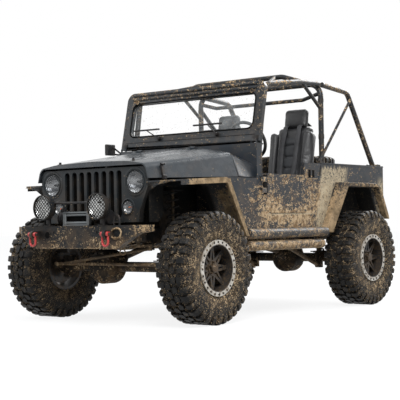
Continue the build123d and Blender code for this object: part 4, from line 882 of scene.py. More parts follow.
@dataclass
class MudTyre:
    """Deep-lugged tyre: carcass, two staggered middle rows and shoulder lugs that run down the sidewall."""

    tip: float = 0.4442
    floor: float = 0.4265
    half_width: float = 0.1515
    bead: float = 0.1915
    lug_bevel: float = 0.0035
    lugs: int = 36

    def carcass(self, mesh: bmesh.types.BMesh) -> None:
        """Sidewalls, bead and tread floor."""
        half = [(0.083, self.bead), (0.113, self.bead), (0.124, 0.2245), (0.138, 0.262), (0.1455, 0.30),
                (0.1465, 0.335), (0.143, 0.372), (0.134, 0.402), (0.120, 0.420), (0.085, self.floor)]
        spin(mesh, half + [(-x, r) for x, r in reversed(half)], 96)

    def shoulder_lug(self, mesh: bmesh.types.BMesh, side: int, long: bool) -> None:
        """One lug from the tread's edge down the sidewall."""
        foot = 0.352 if long else 0.376
        inner = 0.062 if long else 0.080
        outline = [(inner, self.floor - 0.004), (inner, self.tip - 0.001), (0.118, self.tip),
                   (0.134, 0.4365), (0.1465, 0.408), (self.half_width, foot + 0.012), (0.1475, foot),
                   (0.140, foot), (0.128, 0.405)]
        wide = 0.046 if long else 0.038
        points = [(side * x, -wide / 2, r) for x, r in outline]
        verts = prism(mesh, points, (0, wide, 0))
        edges = list({e for v in verts for e in v.link_edges if abs(e.calc_face_angle(0.0)) > 0.7})
        chamfer(mesh, edges, self.lug_bevel, 1)

    def middle_lug(self, mesh: bmesh.types.BMesh, side: int) -> None:
        """One slanted block beside the tread's centre line."""
        low = self.floor - 0.003
        outline = [(0.004, -0.030), (0.050, -0.020), (0.056, 0.012), (0.030, 0.030), (0.008, 0.018)]
        points = [(side * x, y, low) for x, y in outline]
        prism(mesh, points, (0, 0, self.tip - low - 0.0012))

    def mesh(self) -> bmesh.types.BMesh:
        """The whole tyre about the X axis."""
        whole = bmesh.new()
        self.carcass(whole)
        step = 2 * pi / self.lugs
        for side in (-1, 1):
            for i, long in enumerate((True, False)):
                part = bmesh.new()
                self.shoulder_lug(part, side, long)
                self.middle_lug(part, side)
                offset = step * (i + (0.5 if side < 0 else 0.0))
                turn = Matrix.Rotation(offset, 3, "X")
                bmesh.ops.rotate(part, verts=part.verts, cent=(0, 0, 0), matrix=turn)
                around(part, list(part.verts), self.lugs // 2)
                absorb(whole, part)
        return whole

    def build(self) -> None:
        """One tyre at each corner."""
        for corner in CORNERS:
            publish("mud_tyre_" + corner.name, self.mesh(), Finish.TYRE, corner.body,
                    ["tyre_" + corner.name], 30.0, corner.place())


@dataclass
class SoftPanels:
    """Copies of the sheet metal whose sharp edges are rounded, so that they catch the light."""

    panels: tuple[Panel, ...] = PANELS
    least_turn: float = 32.0
    flat_turn: float = radians(0.3)

    def build(self) -> None:
        """One copy for each panel."""
        for panel in self.panels:
            mesh = bmesh.new()
            mesh.from_mesh(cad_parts[panel.node].data)
            bmesh.ops.remove_doubles(mesh, verts=mesh.verts, dist=CAD_WELD)
            bmesh.ops.dissolve_degenerate(mesh, dist=CAD_WELD, edges=mesh.edges)
            flat = [e for e in mesh.edges if e.is_manifold and e.calc_face_angle(0.0) < self.flat_turn]
            bmesh.ops.dissolve_edges(mesh, edges=flat, use_verts=False, use_face_split=False)
            piece = publish(panel.node + "_skin", mesh, panel.finish, panel.body,
                            [panel.node], panel.smooth)
            soften(piece, panel.edge, max(self.least_turn, panel.smooth))


@dataclass
class WheelTrim:
    """Ring bolts, hub cap and lug nuts on each wheel, over the CAD rim."""

    ring_r: float = 0.2035
    ring_face: float = 0.136
    bolts: int = 24
    studs: int = 5
    stud_r: float = 0.047

    def bolts_on_ring(self) -> bmesh.types.BMesh:
        """Recessed washers and bolt heads round the outer ring."""
        mesh = bmesh.new()
        face, r = self.ring_face, self.ring_r
        verts = rod(mesh, (face - 0.004, 0, r), (face + 0.0004, 0, r), 0.0098, 12)
        verts += rod(mesh, (face - 0.002, 0, r), (face + 0.006, 0, r), 0.0060, HEX)
        around(mesh, verts, self.bolts)
        return mesh

    def hub(self) -> bmesh.types.BMesh:
        """Cap with its stepped rim, and the nuts round it."""
        mesh = bmesh.new()
        cap = [(0.05, 0.0), (0.1085, 0.0), (0.1085, 0.020), (0.1060, 0.0225), (0.1060, 0.029),
               (0.1010, 0.0335), (0.05, 0.0365)]
        spin(mesh, cap, 32, closed=False)
        nuts = rod(mesh, (0.078, 0, self.stud_r), (0.090, 0, self.stud_r), 0.0088, HEX)
        nuts += rod(mesh, (0.088, 0, self.stud_r), (0.100, 0, self.stud_r), 0.0072, 12, 0.0055)
        around(mesh, nuts, self.studs)
        return mesh

    def build(self) -> None:
        """Dress the four wheels, and add a valve to each."""
        for corner in CORNERS:
            valve = bmesh.new()
            rod(valve, (0.100, 0.02, 0.172), (0.128, 0.02, 0.166), 0.0045, 10)
            pieces = (("ring_bolts_", self.bolts_on_ring(), Finish.BOLT),
                      ("hub_cap_", self.hub(), Finish.BOLT), ("valve_", valve, Finish.PLAIN))
            for kind, mesh, finish in pieces:
                publish(kind + corner.name, mesh, finish, corner.body, place=corner.place())


@dataclass
class Brakes:
    """Calipers over the rotors: the front ones on the knuckles, the rear ones on the axle."""

    pad_r: float = 0.138
    rotor_x: float = -0.064

    def build(self) -> None:
        """One caliper for each corner."""
        for corner in CORNERS:
            mesh = bmesh.new()
            x = self.rotor_x
            for turn in range(-2, 3):
                a = radians((80 if corner.y < 0 else 100) + 13 * turn)
                y, z = cos(a) * self.pad_r, sin(a) * self.pad_r
                block(mesh, (x - 0.028, y - 0.022, z - 0.020), (x - 0.0125, y + 0.022, z + 0.018), 0.004)
                block(mesh, (x - 0.028, y - 0.021, z + 0.011), (x + 0.028, y + 0.021, z + 0.024), 0.004)
            body = corner.name.replace("front", "knuckle") if corner.y < 0 else "root"
            publish("caliper_" + corner.name, mesh, Finish.AXLE, body, place=corner.place())


@dataclass
class Lamps:
    """Headlamps, indicators and caged driving lamps."""

    head: Point = (0.458, -1.585, 1.128)
    head_r: float = 0.095
    turn: Point = (0.380, -1.585, 0.931)
    turn_r: float = 0.056
    spot: Point = (0.297, -1.858, 0.938)
    spot_r: float = 0.102
    cells: int = 9
    wire: float = 0.0026
    steps: int = 48

    def aim(self, centre: Point, side: int) -> Matrix:
        """Turns a lamp built about X so that it faces forward at its place."""
        return Matrix.Translation((side * centre[0], centre[1], centre[2])) @ Matrix.Rotation(-pi / 2, 4, "Z")

    def grille_lamp(self, name: str, centre: Point, r: float, depth: float, side: int, bowl: Finish,
                    nodes: Sequence[str]) -> None:
        """Surround, bezel, silvered bowl, lens and bulb of a lamp in the grille."""
        place = self.aim(centre, side)
        ring = bmesh.new()
        spin(ring, [(-0.016, r), (0.008, r), (0.012, r * 0.975), (0.010, r * 0.93), (0.002, r * 0.90),
                    (-0.016, r * 0.90)], self.steps)
        spin(ring, [(-0.002, r), (0.004, r * 1.02), (0.0065, r * 1.10), (0.004, r * 1.20),
                    (-0.002, r * 1.235)], self.steps)
        publish(name + "_bezel", ring, Finish.NOSE, "root", nodes, place=place)
        shell = bmesh.new()
        spin(shell, [(0.0, r * 0.9), (-depth * 0.35, r * 0.80), (-depth * 0.7, r * 0.57),
                     (-depth, r * 0.2), (-depth, 0.0)], self.steps, closed=False)
        publish(name + "_bowl", shell, bowl, "root", place=place)
        lens = bmesh.new()
        spin(lens, [(0.003, r * 0.905), (0.012, r * 0.72), (0.0175, r * 0.4), (0.0195, 0.0)],
             self.steps, closed=False)
        publish(name + "_lens", lens, Finish.LENS, "root", place=place)
        bulb = bmesh.new()
        rod(bulb, (-depth, 0, 0), (-depth * 0.4, 0, 0), r * 0.12, 16, r * 0.09)
        glow = Finish.AMBER if r == self.turn_r else Finish.SHADE
        publish(name + "_bulb", bulb, glow, "root", place=place)

    def guard_routes(self, place: Matrix) -> list[list[Point]]:
        """Two crossed families of wires, bowed forward over a driving lamp."""
        reach = self.spot_r * 0.94
        routes: list[list[Point]] = []
        for k in range(self.cells):
            level = reach * (2 * (k + 0.5) / self.cells - 1)
            half = sqrt(reach * reach - level * level)
            for tilt in (pi / 4, -pi / 4):
                line = []
                for i in range(9):
                    u = half * (i / 4 - 1)
                    a, b = u * cos(tilt) - level * sin(tilt), u * sin(tilt) + level * cos(tilt)
                    rise = 0.003 + 0.011 * (1 - (a * a + b * b) / (reach * reach))
                    line.append(tuple(place @ Vector((rise, a, b))))
                routes.append(line)
        return routes

    def driving_lamp(self, side: int) -> None:
        """Housing, bowl, wire guard and clamp band of one driving lamp."""
        r = self.spot_r
        place = self.aim(self.spot, side)
        name = "driving_lamp_" + side_name(side)
        shell = bmesh.new()
        spin(shell, [(-0.006, r * 0.95), (-0.006, r * 0.99), (-0.036, r * 0.985), (-0.040, r * 0.95),
                     (-0.072, r * 0.82), (-0.098, r * 0.50), (-0.106, r * 0.3), (-0.108, 0.0)],
             self.steps, closed=False)
        spin(shell, [(-0.010, r * 0.92), (0.006, r * 0.925), (0.0085, r * 0.955), (0.006, r), (-0.010, r)],
             self.steps)
        nodes = ["spot_lamps"] if side > 0 else []
        publish(name + "_shell", shell, Finish.BUMPER, "root", nodes, place=place)
        bowl = bmesh.new()
        spin(bowl, [(-0.006, r * 0.93), (-0.020, r * 0.86), (-0.038, r * 0.62), (-0.050, r * 0.25),
                    (-0.052, 0.0)], self.steps, closed=False)
        publish(name + "_bowl", bowl, Finish.SPOT_BOWL, "root", place=place)
        curve_piece(name + "_guard", self.guard_routes(place), self.wire, Finish.SHADE, "root")

    def mounts(self) -> None:
        """Feet and bar between the driving lamps."""
        mesh = bmesh.new()
        x, y, z = self.spot
        rod(mesh, (-x, y + 0.054, z + 0.034), (x, y + 0.054, z + 0.034), 0.0095, 16)
        for side in (-1, 1):
            sx = side * x
            block(mesh, (sx - 0.021, y + 0.060, 0.7905), (sx + 0.021, y + 0.078, z - 0.075), 0.003)
            block(mesh, (sx - 0.034, y + 0.046, 0.7905), (sx + 0.034, y + 0.090, 0.7965), 0.002)
            for tail in (-0.024, 0.024):
                rod(mesh, (sx + tail, y + 0.055, 0.796), (sx + tail, y + 0.055, 0.804), 0.007, HEX)
            block(mesh, (sx - 0.030, y + 0.056, z - 0.085), (sx + 0.030, y + 0.082, z - 0.060), 0.003)
        publish("driving_lamp_mounts", mesh, Finish.PLAIN, "root")

    def build(self) -> None:
        """All lamps at the front."""
        for side in (1, -1):
            tag = side_name(side)
            nodes = ["front_lamps"] if side > 0 else []
            self.grille_lamp("headlamp_" + tag, self.head, self.head_r, 0.062, side, Finish.HEAD_BOWL,
                             nodes)
            self.grille_lamp("indicator_" + tag, self.turn, self.turn_r, 0.026, side, Finish.TURN_BOWL, [])
            self.driving_lamp(side)
        self.mounts()


@dataclass
class GrilleCore:
    """Upright cooling fins close behind the grille's slots, on a back sheet; both are near-black and matte,
    painted shade seen through the slots.
    """

    half: float = 0.350
    low: float = 0.795
    high: float = 1.236
    front_y: float = -1.562
    back_y: float = -1.5375
    pitch: float = 0.0105
    rows: int = 5

    def build(self) -> None:
        """Back sheet, then the fins."""
        sheet = bmesh.new()
        block(sheet, (-self.half, self.back_y - 0.003, self.low), (self.half, self.back_y, self.high))
        publish("grille_shade", sheet, Finish.SHADE, "root")
        # The fins are near-black too: painted shade behind the slots
        fins = bmesh.new()
        for i in range(int(2 * self.half / self.pitch)):
            x = -self.half + self.pitch * (i + 0.5)
            block(fins, (x - 0.0014, self.front_y, self.low), (x + 0.0014, self.back_y - 0.004, self.high))
        for k in range(self.rows):
            y, z = self.front_y, self.low + (self.high - self.low) * (k + 0.5) / self.rows
            block(fins, (-self.half, y + 0.012, z - 0.002), (self.half, y + 0.016, z + 0.002))
        publish("grille_fins", fins, Finish.SHADE, "root")


@dataclass
class Winch:
    """Winch with finned housings, wound drum and roller fairlead."""

    y: float = -1.668
    z: float = 0.852
    drum_half: float = 0.150
    end_x: float = 0.270
    housing_r: float = 0.060
    wraps: int = 22
    lead_y: Flat = (-1.787, -1.750)
    lead_x: float = 0.142
    lead_z: Flat = (0.790, 0.902)

    def housings(self) -> None:
        """Motor and gear housings, tie bars, clutch knob and foot rails."""
        place = Matrix.Translation((0, self.y, self.z))
        mesh = bmesh.new()
        r, a, b = self.housing_r, self.drum_half, self.end_x
        for side in (-1, 1):
            ribs = 7 if side > 0 else 4
            step = (b - a - 0.02) / ribs
            body = [(side * a, r), (side * (a + 0.012), r)]
            for k in range(ribs):
                x = a + 0.012 + step * k
                rib = ((0.35, r), (0.45, r * 0.93), (0.9, r * 0.93), (1.0, r))
                body += [(side * (x + step * share), height) for share, height in rib]
            spin(mesh, [(side * a, 0.0), *body, (side * b, r * 0.86), (side * b, 0.0)], 36, closed=False)
        for y, z in ((-0.045, 0.040), (0.045, 0.040), (0.045, -0.040)):
            rod(mesh, (-a, y, z), (a, y, z), 0.007, 12)
        rod(mesh, (-b + 0.03, -0.02, r - 0.004), (-b + 0.03, -0.02, r + 0.016), 0.016, 12)
        for foot in (-a - 0.01, a + 0.01):
            block(mesh, (foot - 0.02, -0.055, -0.071), (foot + 0.02, 0.055, -0.045), 0.003)
        publish("winch_housings", mesh, Finish.PLAIN, "root", ["winch"], place=place)

    def drum(self) -> None:
        """Rope in close wraps on the drum."""
        mesh = bmesh.new()
        pitch = (2 * self.drum_half - 0.012) / self.wraps
        start = -self.drum_half + 0.006
        profile = [(start, 0.0)]
        for k in range(self.wraps):
            x = start + pitch * k
            profile += [(x + 0.0005, 0.040), (x + pitch * 0.25, 0.0445), (x + pitch * 0.75, 0.0445),
                        (x + pitch - 0.0005, 0.040)]
        spin(mesh, [*profile, (-start, 0.0)], 32, closed=False)
        place = Matrix.Translation((0, self.y, self.z))
        publish("winch_rope", mesh, Finish.ROPE, "root", place=place)

    def fairlead(self) -> None:
        """Roller frame on the bumper's top, with a dark sheet of painted shade behind its opening."""
        y0, y1 = self.lead_y
        z0, z1 = self.lead_z
        x1 = self.lead_x
        mesh = bmesh.new()
        block(mesh, (-x1, y0, z0), (x1, y1, z0 + 0.012), 0.002)
        block(mesh, (-x1, y0, z1 - 0.012), (x1, y1, z1), 0.002)
        block(mesh, (-x1, y0 + 0.004, z0), (-x1 + 0.010, y1, z1), 0.002)
        block(mesh, (x1 - 0.010, y0 + 0.004, z0), (x1, y1, z1), 0.002)
        middle = (y0 + y1) / 2
        for z in (z0 + 0.024, z1 - 0.024):
            rod(mesh, (-x1 + 0.012, middle, z), (x1 - 0.012, middle, z), 0.0115, 20)
        for side in (-1, 1):
            x, y = side * (x1 - 0.020), middle - 0.006
            rod(mesh, (x, y, z0 + 0.014), (x, y, z1 - 0.014), 0.0095, 20)
            for z in (z0 + 0.024, z1 - 0.024):
                rod(mesh, (side * x1, middle, z), (side * (x1 + 0.004), middle, z), 0.008, HEX)
        publish("fairlead", mesh, Finish.FAIRLEAD, "root")
        dark = bmesh.new()
        block(dark, (-x1 + 0.012, y1 + 0.001, z0 + 0.013), (x1 - 0.012, y1 + 0.003, z1 - 0.013))
        publish("fairlead_shade", dark, Finish.SHADE, "root")

    def build(self) -> None:
        """The whole winch."""
        self.housings()
        self.drum()
        self.fairlead()


@dataclass
class BumperGear:
    """Shackle pins, a tow loop, a clevis and a hanging ring on the front bumper."""

    shackle_x: float = 0.398
    pin: Flat = (-1.872, 0.725)
    pin_parts: tuple[tuple[float, float, float, int], ...] = (
        (-0.052, -0.036, 0.0142, HEX),
        (0.036, 0.056, 0.0125, 16),
        (-0.017, -0.0125, 0.023, 20),
        (0.0125, 0.017, 0.023, 20),
        (-0.012, 0.012, 0.0205, 20),
    )
    clevis: tuple[Flat, ...] = ((0.006, 0.790), (0.006, 0.840), (0.016, 0.862), (0.034, 0.870),
                                (0.052, 0.862), (0.062, 0.840), (0.062, 0.790))

    def loop(self, centre: Point, across: Point, up: Point, count: int = 28) -> list[Point]:
        """Points round an ellipse given by its two half axes."""
        c, a, b = Vector(centre), Vector(across), Vector(up)
        turns = [2 * pi * i / count for i in range(count)]
        return [tuple(c + a * cos(t) + b * sin(t)) for t in turns]

    def build(self) -> None:
        """All the small gear at the front."""
        y, z = self.pin
        mesh = bmesh.new()
        for side in (-1, 1):
            x = side * self.shackle_x
            for near, far, r, sides in self.pin_parts:
                rod(mesh, (x + near, y, z), (x + far, y, z), r, sides)
        publish("shackle_pins", mesh, Finish.BOLT, "root")
        x = self.shackle_x
        tow = self.loop((x + 0.050, -1.806, 0.728), (0.050, 0.004, 0), (0.006, 0, 0.040))
        ring = self.loop((x + 0.02, -1.700, 0.583), (0.018, 0.010, 0), (0, 0, 0.022))
        curve_piece("tow_loop", [tow], 0.0075, Finish.CAKED, "root", closed=True)
        curve_piece("hanging_ring", [ring], 0.0052, Finish.CAKED, "root", closed=True)
        bow = [(x + dx, -1.775, top) for dx, top in self.clevis]
        curve_piece("top_clevis", [bow], 0.0075, Finish.PLAIN, "root")
        fixings = bmesh.new()
        rod(fixings, (x - 0.008, -1.775, 0.812), (x + 0.078, -1.775, 0.812), 0.0065, 12)
        block(fixings, (x + 0.012, -1.705, 0.598), (x + 0.028, -1.697, 0.612))
        for side in (-1, 1):
            for k in range(2):
                bx, bz = side * 0.235, 0.66 + 0.08 * k
                rod(fixings, (bx, -1.808, bz), (bx, -1.798, bz), 0.009, HEX)
            rod(fixings, (side * 0.300, -1.803, 0.719), (side * 0.300, -1.797, 0.719), 0.033, 24)
        publish("bumper_fixings", fixings, Finish.BOLT, "root")
        holes = bmesh.new()
        for side in (-1, 1):
            rod(holes, (side * 0.300, -1.8036, 0.719), (side * 0.300, -1.8, 0.719), 0.0265, 24)
        publish("bumper_hole_shade", holes, Finish.SHADE, "root")
        end = bmesh.new()
        for low, high in bars((0.668, 0.744), (0.714, 0.788), 0.005):
            block(end, (low[0], -1.7345, low[1]), (high[0], -1.7255, high[1]), 0.001)
        publish("bumper_end_frame", end, Finish.CAKED, "root")


@dataclass
class HoodGear:
    """Rubber latch straps at the hood's sides, rest pads and washer jets."""

    strap_y: float = -1.465
    strap: tuple[Flat, ...] = ((0.646, 1.160), (0.657, 1.160), (0.631, 1.262), (0.618, 1.262))

    def build(self) -> None:
        """Straps on the body, pads on the hood, jets on the cowl."""
        straps = bmesh.new()
        for side in (-1, 1):
            y = self.strap_y
            points = [(side * x, y - 0.013, z) for x, z in self.strap]
            prism(straps, points, (0, 0.026, 0))
            for x, z, half, r in ((0.636, 1.262, 0.024, 0.008), (0.655, 1.168, 0.020, 0.009)):
                rod(straps, (side * x, y - half, z), (side * x, y + half, z), r, 12)
            foot = side * 0.650
            block(straps, (foot - 0.012, y - 0.018, 1.142), (foot + 0.012, y + 0.018, 1.164), 0.003)
        publish("hood_straps", straps, Finish.PLAIN, "root")
        pads = bmesh.new()
        for side in (-1, 1):
            x = side * 0.405
            rod(pads, (x, -1.545, 1.286), (x, -1.545, 1.316), 0.013, 16, 0.010)
            block(pads, (x - 0.020, -1.562, 1.284), (x + 0.020, -1.528, 1.2995), 0.003)
        publish("hood_pads", pads, Finish.PLAIN, "hood")
        jets = bmesh.new()
        for x in (-0.12, 0.12):
            rod(jets, (x, -0.480, 1.440), (x, -0.480, 1.463), 0.008, 12, 0.006)
            block(jets, (x - 0.009, -0.492, 1.458), (x + 0.009, -0.470, 1.468), 0.002)
        block(jets, (-0.700, -0.328, 1.400), (0.700, -0.320, 1.500), 0.002)
        publish("washer_jets", jets, Finish.PLAIN, "root")


@dataclass
class DoorGear:
    """Paddle latch, a dark strip of painted shade in the gap at the door's upper front, and inner panel of
    each door.
    """

    half_x: float = 0.776
    latch: tuple[tuple[float, Flat, Flat], ...] = (
        (0.010, (0.398, 1.191), (0.497, 1.259)),
        (0.005, (0.408, 1.201), (0.446, 1.249)),
        (0.005, (0.455, 1.201), (0.487, 1.249)),
    )

    def build(self) -> None:
        """Both doors."""
        for side, body in ((1, "door_left"), (-1, "door_right")):
            x = self.half_x
            latch = bmesh.new()
            for deep, low, high in self.latch:
                side_block(latch, side, (x - deep, x - deep + 0.004), low, high, 0.001)
            # Dark strip at the door's upper front edge: painted shade of the gap between door and body
            side_block(latch, side, (x - 0.004, x + 0.0015), (-0.318, 1.030), (-0.256, 1.198), 0.001)
            publish("latch_" + body, latch, Finish.SHADE, body)
            rim = bmesh.new()
            for low, high in bars((0.392, 1.185), (0.500, 1.265), 0.007):
                side_block(rim, side, (x - 0.002, x + 0.001), low, high, 0.001)
            publish("latch_frame_" + body, rim, Finish.PLAIN, body)
            inner = bmesh.new()
            side_block(inner, side, (x - 0.0385, x - 0.046), (-0.23, 0.93), (0.40, 1.16), 0.003)
            grip = side * (x - 0.062)
            rod(inner, (grip, -0.10, 1.12), (grip, 0.12, 1.12), 0.009, 14)
            for y in (-0.10, 0.12):
                rod(inner, (side * (x - 0.040), y, 1.12), (grip, y, 1.12), 0.009, 14)
            publish("inner_panel_" + body, inner, Finish.PLAIN, body)


@dataclass
class WindscreenGear:
    """Rubber round the pane, pivot caps, corner rings and the seam along the foot."""

    base: Point = (0.0, -0.377, 1.484)
    lean: float = radians(-12.5)
    opening: tuple[float, float, float] = (0.700, 0.120, 0.437)
    corner_r: float = 0.056

    def place(self) -> Matrix:
        """From the windscreen's own upright frame to the vehicle's."""
        return Matrix.Translation(self.base) @ Matrix.Rotation(self.lean, 4, "X")

    def outline(self, grow: float, y: float) -> list[Point]:
        """Rounded rectangle round the opening, in the vehicle's frame."""
        half, low, high = self.opening
        r = self.corner_r + grow
        place = self.place()
        points = []
        for sx, z, start in ((1, high, 0), (-1, high, 90), (-1, low, 180), (1, low, 270)):
            cx = sx * (half - self.corner_r)
            cz = z - self.corner_r if z == high else z + self.corner_r
            for k in range(7):
                a = radians(start + 15 * k)
                points.append(tuple(place @ Vector((cx + r * cos(a), y, cz + r * sin(a)))))
        return points

    def build(self) -> None:
        """Everything on the windscreen's frame."""
        rubber = [self.outline(0.002, y) for y in (-0.001, 0.041)]
        curve_piece("pane_rubber", rubber, 0.0062, Finish.SHADE, "windscreen", closed=True)
        place = self.place()
        rings = []
        for x in (-0.655, 0.655):
            rings.append([tuple(place @ Vector((x + 0.016 * cos(t), -0.006, 0.452 + 0.016 * sin(t))))
                          for t in (2 * pi * i / 20 for i in range(20))])
        curve_piece("corner_rings", rings, 0.0032, Finish.CAKED, "windscreen", closed=True)
        mesh = bmesh.new()
        block(mesh, (-0.735, -0.0035, 0.060), (0.735, 0.002, 0.0655))
        for x in (-0.330, 0.330):
            rod(mesh, (x, -0.030, 0.084), (x, 0.0, 0.084), 0.017, 20, 0.020)
            rod(mesh, (x, -0.034, 0.084), (x, -0.028, 0.084), 0.008, HEX)
        for side in (-1, 1):
            for z in (0.02, 0.10, 0.20, 0.30, 0.40, 0.50):
                rod(mesh, (side * 0.764, -0.004, z), (side * 0.764, 0.0, z), 0.006, 10)
            block(mesh, (side * 0.742 - 0.028, -0.010, 0.006), (side * 0.742 + 0.028, 0.0, 0.052), 0.003)
        publish("screen_fittings", mesh, Finish.PLAIN, "windscreen", place=place)


@dataclass
class CageGear:
    """Bolts of the foot plates, and clamp collars on the roll cage."""

    plates: tuple[Point, ...] = ((0.708, 1.672, 1.330), (0.708, -0.268, 0.810))
    collars: tuple[tuple[Point, Point], ...] = (
        ((0.708, 0.735, 1.56), (0.708, 0.735, 1.60)),
        ((0.708, 0.735, 1.90), (0.708, 0.735, 1.93)),
    )

    def build(self) -> None:
        """Bolts and collars, mirrored to both sides."""
        mesh = bmesh.new()
        for side in (-1, 1):
            for x, y, z in self.plates:
                for dx in (-0.038, 0.038):
                    for dy in (-0.038, 0.038):
                        bx, by = side * x + dx, y + dy
                        rod(mesh, (bx, by, z + 0.002), (bx, by, z + 0.019), 0.0075, HEX)
            for a, b in self.collars:
                rod(mesh, (side * a[0], a[1], a[2]), (side * b[0], b[1], b[2]), 0.0275, 24)
        publish("cage_fixings", mesh, Finish.BOLT, "root")


@dataclass
class Springs:
    """Coil springs round dampers, with the lower links, in place of the plain stacked turns."""

    x: float = 0.430
    coil_r: float = 0.045
    wire: float = 0.0078
    seats: tuple[tuple[str, float, float, int], ...] = (("front", -1.10, 1.060, 9), ("rear", 1.10, 0.770, 5))
    perch_z: float = 0.5105

    def build(self) -> None:
        """A spring and damper at each corner, and the links."""
        for end, y, top, turns in self.seats:
            routes = []
            mesh = bmesh.new()
            for side in (-1, 1):
                count = turns * 20
                low, high = self.perch_z + self.wire, top - self.wire
                routes.append([(side * self.x + self.coil_r * cos(2 * pi * turns * i / count),
                                y + self.coil_r * sin(2 * pi * turns * i / count),
                                low + (high - low) * i / count) for i in range(count + 1)])
                rod(mesh, (side * self.x, y, self.perch_z), (side * self.x, y, (low + high) / 2), 0.026, 24)
                rod(mesh, (side * self.x, y, self.perch_z), (side * self.x, y, top), 0.012, 16)
                near = -1.15 if end == "front" else 1.15
                far = -0.5 if end == "front" else 0.5
                a, b = (side * 0.38, near, 0.3725), (side * 0.38, far, 0.610)
                rod(mesh, a, b, 0.020, 20)
                for p in (a, b):
                    rod(mesh, (p[0] - 0.02, p[1], p[2]), (p[0] + 0.02, p[1], p[2]), 0.0245, 20)
            curve_piece(end + "_coils", routes, self.wire, Finish.CHASSIS, "root")
            publish(end + "_dampers", mesh, Finish.LINKS, "root", [end + "_suspension"])


